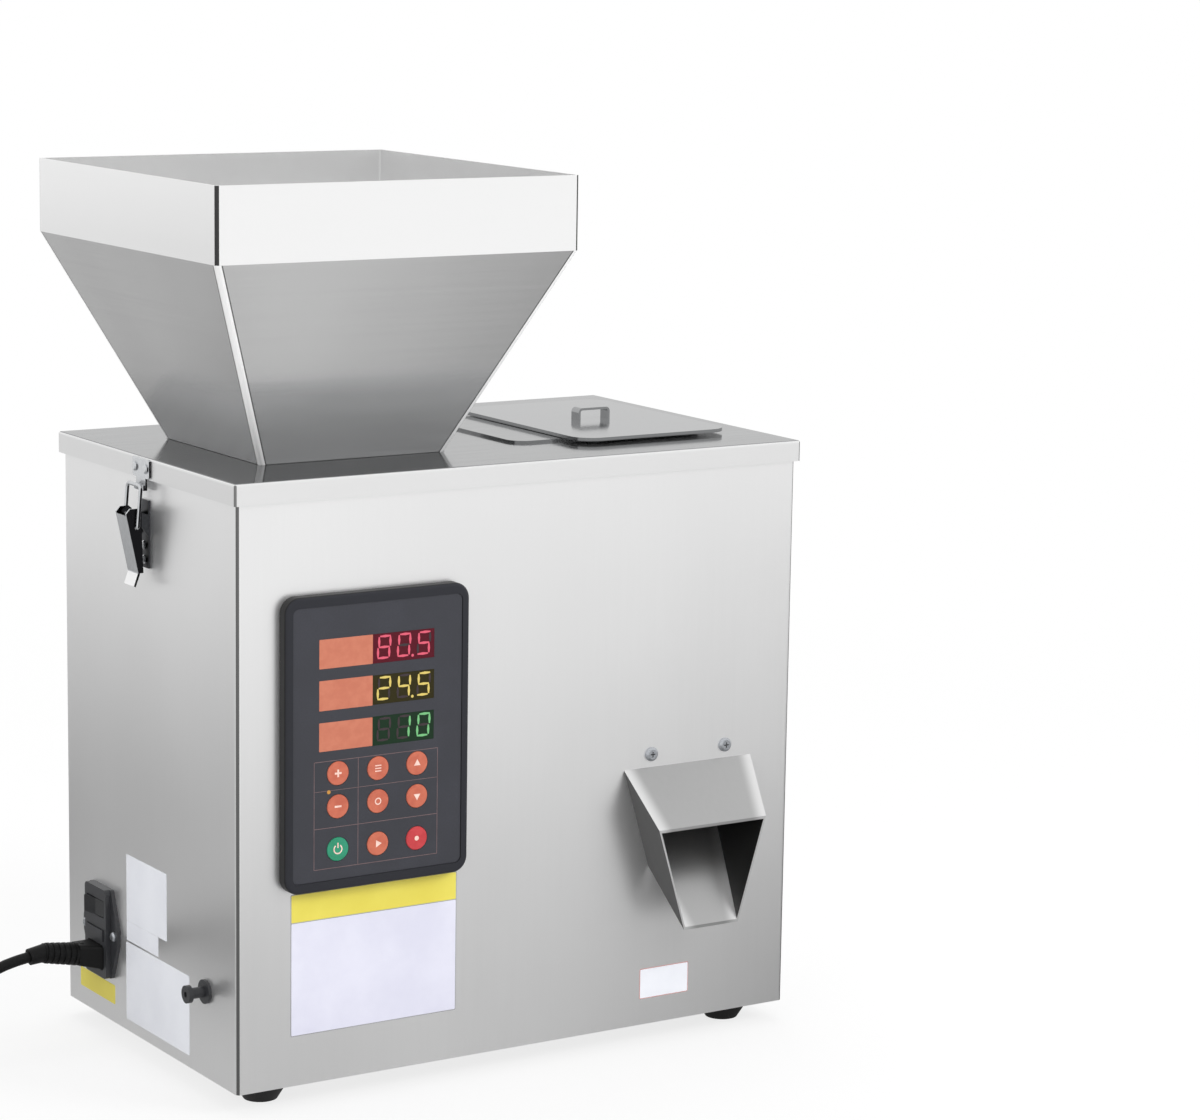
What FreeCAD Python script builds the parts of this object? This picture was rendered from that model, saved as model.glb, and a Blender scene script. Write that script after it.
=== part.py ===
import FreeCAD, Part
import math
import os

# Powder filling machine: a folded stainless steel case with a lift-off lid and square hopper,
# a vibrating feed trough, a weigh bucket with a motor-driven flap, and a discharge chute.
# Millimetres. X runs along the front from left to right, Y from the front to the back, Z up.
# The origin is on the table, under the middle of the machine.

V = FreeCAD.Vector

# Case
case_width = 400.0
case_depth = 241.5
case_height = 370.0
sheet = 1.2
corner_radius = 3.0
rear_return = 15.0
case_screw_radius = 2.0
case_screw_head = 2.2
foot_height = 13.0
foot_top_radius = 16.5
foot_tip_radius = 10.5
foot_from_side = 29.5
foot_from_front = 27.0
base_flange = 12.0

# Lid and inspection cover
rest_gap = 0.3
lid_overhang = 2.3
lid_height = 13.3
lid_edge_radius = 1.5
throat_lip = 10.0
seat_thickness = 1.5
seat_from_right = 27.0
seat_width = 144.0
seat_depth = 113.5
seat_corner = 12.0
cover_from_right = 22.0
cover_width = 114.0
cover_depth = 159.5
cover_corner = 15.0
cover_thickness = 2.2
inspection_margin = 10.0
inspection_corner = 8.0
spigot_depth = 6.0
spigot_gap = 0.6
handle_span = 24.0
handle_height = 7.5
handle_width = 9.0
handle_strap = 1.5
handle_bend = 3.0

# Hopper and flow gate
hopper_from_left = 109.0
rim_inset = 0.05
rim_height = 45.8
taper_height = 127.7
throat_width = 128.0
outlet_drop = 36.5
hopper_corner = 2.4
seat_clearance = 0.3
gate_width = 80.0
gate_below = 12.0
gate_above = 14.0
gate_tab = 6.0
guide_width = 6.0
guide_start = 2.0
guide_end = 12.0

# Discharge chute
chute_from_right = 78.5
chute_reach = 30.0
chute_lip_height = 68.4
chute_mouth_top = 135.5
chute_lip_half_width = 20.6
chute_mouth_half_width = 40.8
chute_roof_height = 169.0
chute_side_lean = 0.0795
chute_floor_height = 105.0
scoop_depth = 122.0
scoop_front_height = 200.0
scoop_rear_rise = 4.0
chute_screw_spacing = 56.4
chute_screw_rise = 8.5

# Control panel
panel_left = 28.2
panel_bottom = 121.0
panel_width = 125.9
panel_height = 180.7
panel_proud = 8.0
panel_corner = 10.0
panel_rounding = 2.0
bezel_side = 5.0
bezel_end = 6.5
face_recess = 0.5
face_thickness = 1.5
key_radius = 7.25
key_proud = 0.5
key_gap = 0.3
key_flange = 1.2
key_flange_thickness = 1.0
key_travel = 0.4
key_columns = (63.6, 91.0, 118.0)
key_rows = (193.0, 172.6, 146.3)
key_names = (
    ("key_plus", "key_mode", "key_up"),
    ("key_minus", "key_clear", "key_down"),
    ("key_power", "key_feed", "key_stop"),
)
switch_width = 6.0
board_thickness = 1.6
display_left = 87.1
display_width = 42.4
display_height = 17.8
display_rows = (266.4, 241.2, 216.0)

# Mains inlet, its switch, fuse drawer and connector
inlet_from_front = 186.0
inlet_bottom = 28.8
inlet_width = 31.0
inlet_height = 58.2
inlet_proud = 6.0
inlet_body_width = 27.0
inlet_body_height = 52.0
inlet_body_depth = 30.0
ear_span = 50.0
ear_height = 9.0
ear_rounding = 2.5
ear_thickness = 2.5
ear_screw_spacing = 40.0
inlet_screw_length = 9.0
socket_height = 42.0
socket_width = 24.2
socket_tall = 16.7
socket_depth = 18.0
fuse_height = 57.0
fuse_slot_width = 24.6
fuse_slot_tall = 7.6
fuse_slot_depth = 26.0
drawer_gap = 0.3
drawer_setback = -1.1
fuse_radius = 2.6
fuse_length = 20.0
rocker_height = 74.0
rocker_length = 22.4
rocker_width = 10.6
rocker_recess_length = 25.0
rocker_recess_depth = 10.0
rocker_pin_radius = 1.2
rocker_tilt = 8.0
rocker_gap = 0.4
connector_gap = 0.4
connector_body = 14.0
connector_width = 22.0
connector_height = 15.4
boot_radius = 6.9
boot_tip = 10.0
boot_tip_radius = 5.8
boot_end_radius = 5.3

# Foot-switch socket
pedal_from_front = 41.0
pedal_height = 54.5
pedal_flange_radius = 7.5
pedal_stem_radius = 3.4
pedal_thread_radius = 4.5
pedal_head_radius = 5.5
pedal_proud = 14.0

# Draw latches, the same on both sides
latch_pivot_out = 11.0
latch_pivot_drop = 33.0
loop_pivot_in = 1.0
loop_pivot_drop = 8.0
lever_reach = 17.0
lever_length = 40.0
lever_width = 15.0
lever_sheet = 1.3
lever_tip = 9.0
latch_pin_radius = 1.5
base_rivet_drops = (20.0, 29.0)
latch_foot_below = 34.0
latch_foot_above = 8.0
loop_wire_radius = 1.25
loop_width = 21.0
loop_rise = 26.0
loop_bend = 3.0
hook_width = 23.0
hook_rivet_spacing = 14.6
rivet_radius = 1.6
rivet_head = 2.8
running_gap = 0.05

# Feeder under the hopper
trough_drop = 22.0
trough_wall = 18.0
trough_tail = 56.0
trough_half_width = 51.2
trough_exit_width = 46.0
trough_straight = 56.0
trough_overlap = 8.0
spring_lean = 20.0
spring_spacing = 110.0
spring_width = 60.0
spring_thickness = 1.2
spring_free = 37.0
carrier_height = 14.8
carrier_width = 40.0
carrier_wall = 10.0
feeder_base_height = 30.0
feeder_base_width = 70.0
damper_height = 18.0
damper_radius = 9.0
magnet_gap = 1.5
magnet_length = 34.0
magnet_width = 36.0
deck_from_front = 28.0
deck_gap = 34.0
deck_flange = 14.0

# Weighing parts
bucket_width = 75.0
bucket_front = 32.0
bucket_rear = 112.0
bucket_gap = 5.8
bucket_wall_height = 48.0
bucket_floor_run = 60.0
bucket_floor_drop = 71.5
bucket_front_height = 60.0
flap_gap = 0.4
flap_pin_radius = 1.5
flap_knuckle_radius = 2.8
flap_arm = 28.0
flap_arm_angle = 25.0
crank_radius = 12.0
crank_pin_radius = 3.0
crank_disc_radius = 15.5
crank_from_hinge = 37.7
crank_rise = 17.1
motor_radius = 12.5
motor_length = 21.8
load_cell_length = 80.0
load_cell_size = 12.7
post_width = 50.0
power_board_left = 60.0
power_board_length = 130.0
power_board_width = 90.0
board_standoff = 8.0
board_leg_inset = 6.0
transformer_length = 44.0
transformer_width = 46.0
transformer_height = 36.0
capacitor_gap = 20.0
capacitor_radius = 8.0
capacitor_height = 25.0
heat_sink_length = 18.0
heat_sink_width = 62.0
heat_sink_height = 24.0
post_depth = 30.0

# Mains lead, its coil and its plug
cord_diameter = 7.0
cord_route = (
    (-252.0, 79.1, 59.6),
    (-270.0, 79.3, 57.2),
    (-287.0, 80.2, 47.5),
    (-302.0, 81.8, 32.5),
    (-319.0, 83.9, 19.5),
    (-337.0, 86.2, 9.0),
    (-356.0, 87.7, 4.4),
    (-374.0, 88.0, 3.5),
)
coil_turn_radius = 38.5
coil_layers = 3
plug_length = 36.0
plug_width = 26.0
plug_height = 22.0
plug_boot = 25.0
plug_offset = 22.0
blade_spacing = 12.7

# Places worked out from the sizes above
left = -case_width / 2
right = case_width / 2
front = chute_reach - (chute_reach + case_depth + lid_overhang) / 2
back = front + case_depth
bottom = foot_height
middle_y = front + case_depth / 2
lid_under = bottom + case_height + rest_gap
lid_top = lid_under + sheet
hopper_x = left + hopper_from_left
rim_width = case_depth + 2 * (lid_overhang - rim_inset)
taper_slope = (rim_width - throat_width) / 2 / taper_height
rim_bottom = lid_top + taper_height
rim_top = rim_bottom + rim_height
outlet_z = lid_top - outlet_drop
chute_x = right - chute_from_right
chute_screw_height = chute_roof_height + chute_screw_rise
seat_end = right - seat_from_right
seat_start = seat_end - seat_width
cover_end = right - cover_from_right
cover_start = cover_end - cover_width
trough_z = outlet_z - trough_drop
latch_top = bottom + case_height


def box(x0, x1, y0, y1, z0, z1):
    return Part.makeBox(x1 - x0, y1 - y0, z1 - z0, V(x0, y0, z0))


def rod(radius, start, direction, length):
    return Part.makeCylinder(radius, length, V(*start), V(*direction))


def polygon_solid(points, sweep):
    outline = Part.makePolygon([V(*point) for point in points] + [V(*points[0])])
    return Part.Face(outline).extrude(V(*sweep))


def prism_x(outline, x0, x1):
    return polygon_solid([(x0, y, z) for y, z in outline], (x1 - x0, 0, 0))


def prism_y(outline, y0, y1):
    return polygon_solid([(x, y0, z) for x, z in outline], (0, y1 - y0, 0))


def prism_z(outline, z0, z1):
    return polygon_solid([(x, y, z0) for x, y in outline], (0, 0, z1 - z0))


def round_along(shape, axis, radius):
    direction = V(*axis)
    edges = []
    for edge in shape.Edges:
        if len(edge.Vertexes) != 2:
            continue
        run = edge.Vertexes[1].Point - edge.Vertexes[0].Point
        if abs(run.dot(direction)) > 0.999 * run.Length:
            edges.append(edge)
    return shape.makeFillet(radius, edges)


def round_top(shape, z, radius):
    edges = [edge for edge in shape.Edges if all(abs(v.Z - z) < 0.001 for v in edge.Vertexes)]
    return shape.makeFillet(radius, edges)


def join(shapes):
    return shapes[0].multiFuse(shapes[1:]).removeSplitter()


def frustum(x, y, z0, half0, z1, half1):
    def ring(z, half):
        corners = [(x - half, y - half), (x + half, y - half), (x + half, y + half), (x - half, y + half)]
        return Part.makePolygon([V(a, b, z) for a, b in corners + corners[:1]])
    return Part.makeLoft([ring(z0, half0), ring(z1, half1)], True, True)


def bent_rod(points, cuts, radius):
    # Straight runs joined by tangent arcs. A cut is how far each arc starts from its corner.
    pieces = []
    start = points[0]
    for before, point, after, cut in zip(points, points[1:], points[2:], cuts):
        arriving = (point - before).normalize()
        leaving = (after - point).normalize()
        turn = arriving.getAngle(leaving)
        arc_start = point - arriving * cut
        centre = point + (leaving - arriving).normalize() * (cut / math.sin(turn / 2))
        pieces.append(rod(radius, start, arriving, (arc_start - start).Length))
        section = Part.Face(Part.Wire(Part.makeCircle(radius, arc_start, arriving)))
        pieces.append(section.revolve(centre, arriving.cross(leaving), math.degrees(turn)))
        start = point + leaving * cut
    last = points[-1] - start
    pieces.append(rod(radius, start, last, last.Length))
    return join(pieces)


def revolve_z(profile, x, y):
    closed = profile + profile[:1]
    outline = Part.makePolygon([V(x + r, y, z) for r, z in closed])
    return Part.Face(outline).revolve(V(x, y, 0), V(0, 0, 1), 360)


def mirrored(shape):
    return shape.mirror(V(0, 0, 0), V(1, 0, 0))


def pan_screw(radius, head_radius, head_height, length, start, direction):
    # The start is under the head, and the shank runs along the direction.
    along = V(*direction)
    rim = head_height * 0.5
    head = Part.makeCylinder(head_radius, rim, V(*start) - along * rim, along)
    crown = Part.makeCone(head_radius, head_radius * 0.7, rim, V(*start) - along * rim, along * -1)
    shank = Part.makeCylinder(radius, length, V(*start), along)
    return join([head, crown, shank])


def hex_nut(radius, across, thickness, start, direction):
    corner = across / math.sqrt(3)
    along = V(*direction)
    side = V(0, 0, 1) if abs(along.z) < 0.5 else V(1, 0, 0)
    points = []
    for step in range(6):
        turn = FreeCAD.Rotation(along, 60 * step)
        points.append(tuple(V(*start) + turn.multVec(side) * corner))
    nut = polygon_solid(points, tuple(along * thickness))
    return nut.cut(rod(radius, start, direction, thickness))


# Case

def chute_half_width(y, z):
    # The side plates are flat, so their half width changes evenly with height and with depth.
    rise = (chute_mouth_half_width - chute_lip_half_width) / (chute_mouth_top - chute_lip_height)
    return chute_lip_half_width + rise * (z - chute_lip_height) - chute_side_lean * (y + chute_reach)


def chute_side_factor():
    rise = (chute_mouth_half_width - chute_lip_half_width) / (chute_mouth_top - chute_lip_height)
    return math.sqrt(1 + rise * rise)


def chute_floor(y):
    slope = (chute_floor_height - chute_lip_height) / chute_reach
    return chute_floor_height + slope * y


def chute_roof(y):
    slope = (chute_roof_height - chute_mouth_top) / chute_reach
    return chute_roof_height + slope * y


def between_side_plates(outline, inset):
    def corner(side, y, z):
        half = chute_half_width(y, z) - inset
        return V(chute_x + side * half, front + y, bottom + z)
    faces = []
    for side in (-1, 1):
        ring = [corner(side, y, z) for y, z in outline]
        faces.append(Part.Face(Part.makePolygon(ring + ring[:1])))
    for start, end in zip(outline, outline[1:] + outline[:1]):
        ring = [corner(-1, *start), corner(1, *start), corner(1, *end), corner(-1, *end)]
        faces.append(Part.Face(Part.makePolygon(ring + ring[:1])))
    solid = Part.makeSolid(Part.makeShell(faces))
    if solid.Volume < 0:
        solid.reverse()
    return solid


def chute_outside():
    outline = [
        (-chute_reach, chute_lip_height),
        (-chute_reach, chute_mouth_top),
        (sheet, chute_roof(sheet)),
        (sheet, scoop_front_height),
        (scoop_depth, chute_floor(scoop_depth) + scoop_rear_rise),
        (scoop_depth, chute_floor(scoop_depth)),
    ]
    return between_side_plates(outline, 0)


def chute_inside():
    beyond = 6.0
    floor_lift = sheet * math.hypot(1, (chute_floor_height - chute_lip_height) / chute_reach)
    roof_drop = sheet * math.hypot(1, (chute_roof_height - chute_mouth_top) / chute_reach)
    outline = [
        (-chute_reach - beyond, chute_floor(-chute_reach - beyond) + floor_lift),
        (-chute_reach - beyond, chute_roof(-chute_reach - beyond) - roof_drop),
        (2 * sheet, chute_roof(2 * sheet) - roof_drop),
        (2 * sheet, scoop_front_height + beyond),
        (scoop_depth + beyond, chute_floor(scoop_depth + beyond) + scoop_rear_rise + 3 * beyond),
        (scoop_depth + beyond, chute_floor(scoop_depth + beyond) + floor_lift),
    ]
    return between_side_plates(outline, sheet * chute_side_factor())


def chute_screw_places():
    z = bottom + chute_screw_height
    return [(chute_x + side * chute_screw_spacing / 2, front, z) for side in (-1, 1)]


def rear_screw_places():
    inset = rear_return * 0.6
    heights = (20.0, case_height / 2, case_height - 20.0)
    return [(side * (right - inset), back, bottom + z) for side in (-1, 1) for z in heights]


def foot_places():
    x = right - foot_from_side
    y_front = front + foot_from_front
    y_back = back - foot_from_front
    return [(-x, y_front), (x, y_front), (-x, y_back), (x, y_back)]


def case_wrap():
    outer = box(left, right, front, back - sheet, bottom, bottom + case_height)
    outer = round_along(outer, (0, 0, 1), corner_radius)
    inner = box(left + sheet, right - sheet, front + sheet, back - 2 * sheet, bottom, bottom + case_height)
    inner = round_along(inner, (0, 0, 1), corner_radius - sheet)
    wrap = outer.cut(inner)
    gap = right - rear_return
    wrap = wrap.cut(box(-gap, gap, back - 3 * sheet, back, bottom, bottom + case_height))
    wrap = wrap.cut(chute_outside())
    for place in chute_screw_places() + rear_screw_places():
        wrap = wrap.cut(rod(2.0, (place[0], place[1] - 3 * sheet, place[2]), (0, 1, 0), 6 * sheet))
    wrap = wrap.cut(inlet_body(0.3))
    for x, y, z in inlet_screw_places():
        wrap = wrap.cut(rod(1.5, (x, y, z), (1, 0, 0), inlet_screw_length))
    pedal_hole = (left - sheet, front + pedal_from_front, bottom + pedal_height)
    wrap = wrap.cut(rod(pedal_thread_radius, pedal_hole, (1, 0, 0), 3 * sheet))
    cable = (left + panel_left + panel_width / 2, front - sheet, bottom + panel_bottom + panel_height * 0.25)
    return wrap.cut(rod(9.0, cable, (0, 1, 0), 3 * sheet))


def base_plate():
    outer = box(left + sheet, right - sheet, front + sheet, back - 2 * sheet, bottom, bottom + base_flange)
    outer = round_along(outer, (0, 0, 1), corner_radius - sheet)
    x = right - 2 * sheet
    inner = box(-x, x, front + 2 * sheet, back, bottom + sheet, bottom + base_flange)
    tray = outer.cut(inner)
    for x, y in foot_places():
        tray = tray.cut(rod(2.5, (x, y, bottom), (0, 0, 1), sheet))
    return tray


def rear_panel():
    edge = right - corner_radius
    plate = box(-edge, edge, back - sheet, back, bottom, bottom + case_height)
    for x, y, z in rear_screw_places():
        plate = plate.cut(rod(2.0, (x, y - sheet, z), (0, 1, 0), sheet))
    return round_along(plate, (0, 1, 0), corner_radius)


def case_screws():
    def screw(place, way):
        return pan_screw(case_screw_radius, 4.5, case_screw_head, 4 * sheet, place, (0, way, 0))
    screws = [screw(place, 1) for place in chute_screw_places()]
    screws += [screw(place, -1) for place in rear_screw_places()]
    return screws


def rubber_feet():
    feet = []
    for x, y in foot_places():
        profile = [(0, 0), (foot_tip_radius, 0), (foot_top_radius, foot_height * 0.75),
                   (foot_top_radius, foot_height), (0, foot_height)]
        foot = revolve_z(profile, x, y)
        well = rod(5.4, (x, y, 0), (0, 0, 1), foot_height * 0.55)
        feet.append(foot.cut(well).cut(rod(2.5, (x, y, 0), (0, 0, 1), foot_height)))
    return feet


def foot_screws():
    solids = []
    for x, y in foot_places():
        length = foot_height * 0.45 + 7.0
        solids.append(pan_screw(2.5, 4.6, 3.0, length, (x, y, foot_height * 0.55), (0, 0, 1)))
        solids.append(hex_nut(2.5, 8.0, 4.0, (x, y, bottom + sheet), (0, 0, 1)))
    return solids


def discharge_chute():
    shell = chute_outside().cut(chute_inside())
    for x, y, z in chute_screw_places():
        shell = shell.cut(rod(case_screw_radius, (x, y, z), (0, 1, 0), 4 * sheet))
    return shell


# Control panel

def panel_block(side_inset, end_inset, y_out, y_in, radius):
    x0 = left + panel_left + side_inset
    x1 = left + panel_left + panel_width - side_inset
    z0 = bottom + panel_bottom + end_inset
    z1 = bottom + panel_bottom + panel_height - end_inset
    return round_along(box(x0, x1, front - y_out, front - y_in, z0, z1), (0, 1, 0), radius)


def panel_bezel():
    block = panel_block(0, 0, panel_proud, 0, panel_corner)
    rim = [e for e in block.Edges if all(abs(v.Y - (front - panel_proud)) < 0.001 for v in e.Vertexes)]
    block = block.makeFillet(panel_rounding, rim)
    return block.cut(panel_block(bezel_side, bezel_end, panel_proud, 0, panel_corner * 0.4))


def key_places():
    places = {}
    for names, z in zip(key_names, key_rows):
        for name, x in zip(names, key_columns):
            places[name] = (left + x, bottom + z)
    return places


def display_boxes(grow):
    y_face = front - panel_proud + face_recess
    x0 = left + display_left - grow
    x1 = left + display_left + display_width + grow
    boxes = []
    for z in display_rows:
        z0 = bottom + z - display_height / 2 - grow
        z1 = bottom + z + display_height / 2 + grow
        boxes.append(box(x0, x1, y_face - grow, front - board_thickness, z0, z1))
    return boxes


def control_face():
    y_out = panel_proud - face_recess
    plate = panel_block(bezel_side + 0.1, bezel_end + 0.1, y_out, y_out - face_thickness, panel_corner * 0.4)
    for x, z in key_places().values():
        plate = plate.cut(rod(key_radius + key_gap, (x, front - panel_proud, z), (0, 1, 0), panel_proud))
    for window in display_boxes(0.1):
        plate = plate.cut(window)
    return plate


def key_cap(name):
    x, z = key_places()[name]
    y_plate = front - panel_proud + face_recess
    y_under = y_plate + face_thickness
    cap = rod(key_radius, (x, y_plate - key_proud, z), (0, 1, 0), key_proud + face_thickness + key_gap)
    rim = [edge for edge in cap.Edges if abs(edge.CenterOfMass.y - y_plate + key_proud) < 0.01]
    cap = cap.makeChamfer(key_proud * 0.6, rim)
    flange = rod(key_radius + key_flange, (x, y_under + 0.1, z), (0, 1, 0), key_flange_thickness)
    return cap.fuse(flange).removeSplitter()


def control_board():
    board = panel_block(bezel_side + 0.1, bezel_end + 0.1, board_thickness, 0, panel_corner * 0.4)
    y_flange = front - panel_proud + face_recess + face_thickness + 0.1 + key_flange_thickness
    y_switch = y_flange + key_travel + 0.05
    half = switch_width / 2
    switches = []
    for x, z in key_places().values():
        switches.append(box(x - half, x + half, y_switch, front - board_thickness, z - half, z + half))
    return [join([board] + switches)]


# Mains inlet

def inlet_y():
    return front + inlet_from_front


def inlet_body(grow):
    z_mid = bottom + inlet_bottom + inlet_height / 2
    half_y = inlet_body_width / 2 + grow
    half_z = inlet_body_height / 2 + grow
    return box(left - grow, left + inlet_body_depth, inlet_y() - half_y, inlet_y() + half_y,
               z_mid - half_z, z_mid + half_z)


def inlet_pocket(z, width, tall, depth):
    y = inlet_y()
    return box(left - inlet_proud - 1, left - inlet_proud + depth, y - width / 2, y + width / 2,
               bottom + z - tall / 2, bottom + z + tall / 2)


def inlet_pins(grow):
    x0 = left - inlet_proud + 3.0 - grow
    x1 = left - inlet_proud + socket_depth
    pins = []
    for dy, dz in ((0.0, 3.2), (-6.5, -2.4), (6.5, -2.4)):
        y = inlet_y() + dy
        z = bottom + socket_height + dz
        pins.append(box(x0, x1, y - 1.0 - grow, y + 1.0 + grow, z - 2.0 - grow, z + 2.0 + grow))
    return pins


def power_inlet():
    y = inlet_y()
    z0 = bottom + inlet_bottom
    z_mid = z0 + inlet_height / 2
    face = box(left - inlet_proud, left, y - inlet_width / 2, y + inlet_width / 2, z0, z0 + inlet_height)
    face = round_along(face, (1, 0, 0), 3.0)
    quarter = [(inlet_width / 2, inlet_height / 2), (ear_span / 2, ear_height / 2)]
    half = quarter + [(dy, -dz) for dy, dz in reversed(quarter)]
    outline = [(y + dy, z_mid + dz) for dy, dz in half + [(-dy, -dz) for dy, dz in half]]
    flange = round_along(prism_x(outline, left - ear_thickness, left), (1, 0, 0), ear_rounding)
    module = join([face, flange, inlet_body(0)])
    socket = inlet_pocket(socket_height, socket_width, socket_tall, socket_depth)
    module = module.cut(round_along(socket, (1, 0, 0), 3.0))
    module = module.cut(inlet_pocket(fuse_height, fuse_slot_width, fuse_slot_tall, fuse_slot_depth))
    recess_width = rocker_width + 2 * rocker_gap
    module = module.cut(inlet_pocket(rocker_height, rocker_recess_length, recess_width, rocker_recess_depth))
    pin_z = bottom + rocker_height - rocker_width / 2 - 2.0
    pin_start = (rocker_axis_x(), y, pin_z)
    module = module.cut(rod(rocker_pin_radius + running_gap, pin_start, (0, 0, 1), rocker_width + 4.0))
    for place in inlet_screw_places():
        module = module.cut(rod(1.5, place, (1, 0, 0), inlet_screw_length))
    return join([module] + inlet_pins(0))


def rocker_axis_x():
    return left - inlet_proud + 4.0


def rocker_switch():
    y = inlet_y()
    half = rocker_length / 2
    x_axis = rocker_axis_x()
    outline = [(x_axis + 1.6, -half * 0.7), (x_axis - 3.0, -half), (x_axis - 5.4, -half), (x_axis - 4.2, 0),
               (x_axis - 5.4, half), (x_axis - 3.0, half), (x_axis + 1.6, half * 0.7)]
    z0 = bottom + rocker_height - rocker_width / 2
    body = prism_z([(x, y + dy) for x, dy in outline], z0, z0 + rocker_width)
    pivot = rod(rocker_pin_radius, (x_axis, y, z0 - 1.5), (0, 0, 1), rocker_width + 3.0)
    rocker = join([body, pivot])
    rocker.rotate(V(x_axis, y, 0), V(0, 0, 1), rocker_tilt)
    return rocker


def fuse_drawer():
    # The drawer's face sits back from the module, and its cradle holds one glass fuse.
    width = fuse_slot_width - 2 * drawer_gap
    drawer = inlet_pocket(fuse_height, width, fuse_slot_tall - 2 * drawer_gap, fuse_slot_depth - 1.0)
    y0 = inlet_y() - fuse_slot_width
    y1 = inlet_y() + fuse_slot_width
    x = left - inlet_proud
    drawer = drawer.cut(box(x - 2, x + drawer_setback, y0, y1, bottom, lid_top))
    reach = fuse_radius + 0.1
    half = fuse_length / 2 + 0.1
    z = bottom + fuse_height - fuse_radius
    cradle = box(fuse_x() - reach, fuse_x() + reach, inlet_y() - half, inlet_y() + half, z, lid_top)
    return drawer.cut(cradle)


def fuse_x():
    return left - inlet_proud + fuse_slot_depth - 6.0


def fuse():
    start = (fuse_x(), inlet_y() - fuse_length / 2, bottom + fuse_height)
    return rod(fuse_radius, start, (0, 1, 0), fuse_length)


def inlet_screw_places():
    z = bottom + inlet_bottom + inlet_height / 2
    return [(left - ear_thickness, inlet_y() + side * ear_screw_spacing / 2, z) for side in (-1, 1)]


def inlet_screws():
    return [pan_screw(1.5, 3.2, 1.8, inlet_screw_length, place, (1, 0, 0)) for place in inlet_screw_places()]


def mains_connector():
    # The moulded body sits in the socket, and a tapered tail leads to the cord.
    y = inlet_y()
    z = bottom + socket_height
    half_y = socket_width / 2 - connector_gap
    half_z = socket_tall / 2 - connector_gap
    x_in = left - inlet_proud + socket_depth - 0.5
    x_out = left - inlet_proud
    nose = round_along(box(x_out, x_in, y - half_y, y + half_y, z - half_z, z + half_z), (1, 0, 0), 2.6)
    for pin in inlet_pins(0.2):
        nose = nose.cut(pin)

    # The boot rises a little from the socket, and its tip turns into the cord's first run.
    cord_end = V(*cord_route[0])
    tip_run = (V(*cord_route[1]) - cord_end).normalize()
    knee = cord_end - tip_run * boot_tip
    root = V(x_out, y, z)
    boot_run = (knee - root).normalize()
    waist = root + boot_run * connector_body

    def ring(place, wide, tall):
        corners = [(-1, -1), (1, -1), (1, 1), (-1, 1)]
        points = [place + V(0, a * wide / 2, b * tall / 2) for a, b in corners]
        return Part.makePolygon(points + points[:1])

    girth = boot_radius * 2 * 0.98
    rings = [ring(root, connector_width, connector_height), ring(waist, girth, girth)]
    body = Part.makeLoft(rings, True, True)
    long_edges = [edge for edge in body.Edges if abs(edge.Vertexes[0].X - edge.Vertexes[-1].X) > 1]
    body = body.makeFillet(2.0, long_edges)
    start = root + boot_run * (connector_body / 2)
    boot = Part.makeCone(boot_radius, boot_tip_radius, (knee - start).Length, start, boot_run)
    tip = Part.makeCone(boot_tip_radius, boot_end_radius, boot_tip, knee, tip_run)
    return join([nose, body, boot, Part.makeSphere(boot_tip_radius, knee), tip])


def pedal_socket():
    y = front + pedal_from_front
    z = bottom + pedal_height
    pieces = [
        rod(pedal_flange_radius, (left - 2.0, y, z), (1, 0, 0), 2.0),
        rod(pedal_stem_radius, (left - pedal_proud, y, z), (1, 0, 0), pedal_proud),
        rod(pedal_head_radius, (left - pedal_proud, y, z), (1, 0, 0), 3.0),
        rod(pedal_thread_radius, (left, y, z), (1, 0, 0), 16.0),
        rod(7.0, (left + sheet, y, z), (1, 0, 0), 3.0),
    ]
    return join(pieces).cut(rod(1.8, (left - pedal_proud, y, z), (1, 0, 0), 18.0))


# Draw latches. Each is drawn on the right side, where "out" is +X from the case, and mirrored.

def latch_pivot():
    return right + latch_pivot_out, latch_top - latch_pivot_drop


def loop_pivot():
    x, z = latch_pivot()
    return x - loop_pivot_in, z - loop_pivot_drop


def latch_base():
    x, z = latch_pivot()
    y = middle_y
    half = lever_width / 2 - lever_sheet - 0.6
    plate = box(right, right + sheet, y - half, y + half, z - latch_foot_below, z + latch_foot_above)
    r = latch_pin_radius + 1.7
    round_pin = [(r / 2, -r), (r, -r / 2), (r, r / 2), (r / 2, r), (-r / 2, r), (-r, r / 2)]
    ear = [(right, z - 1.0), (right, z - 16.0), (x - 2.0, z - r)]
    ear += [(x + dx, z + dz) for dx, dz in round_pin]
    ears = [prism_y(ear, start, start + sheet) for start in (y - half, y + half - sheet)]
    base = join([plate] + ears)
    base = base.cut(rod(latch_pin_radius, (x, y - 12, z), (0, 1, 0), 24))
    for drop in base_rivet_drops:
        base = base.cut(rod(rivet_radius, (right, y, z - drop), (1, 0, 0), sheet))
    return base


def latch_rivets():
    x, z = latch_pivot()
    y = middle_y
    half = lever_width / 2
    pin = rod(latch_pin_radius, (x, y - half, z), (0, 1, 0), lever_width)
    places = [(right + sheet, y, z - drop) for drop in base_rivet_drops]
    return [pin] + [pan_screw(rivet_radius, rivet_head, 1.2, sheet, place, (-1, 0, 0)) for place in places]


def lever_profile():
    x, z = latch_pivot()
    face = right + lever_reach
    z_end = z + 4.0 - lever_length
    return [(x - 4.4, z + 2.2), (x - 2.2, z + 4.0), (face - 2.6, z + 4.0), (face, z + 1.0),
            (right + 9.0, z_end), (right + 5.6, z_end), (x - 4.4, z - 10.0)]


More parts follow.
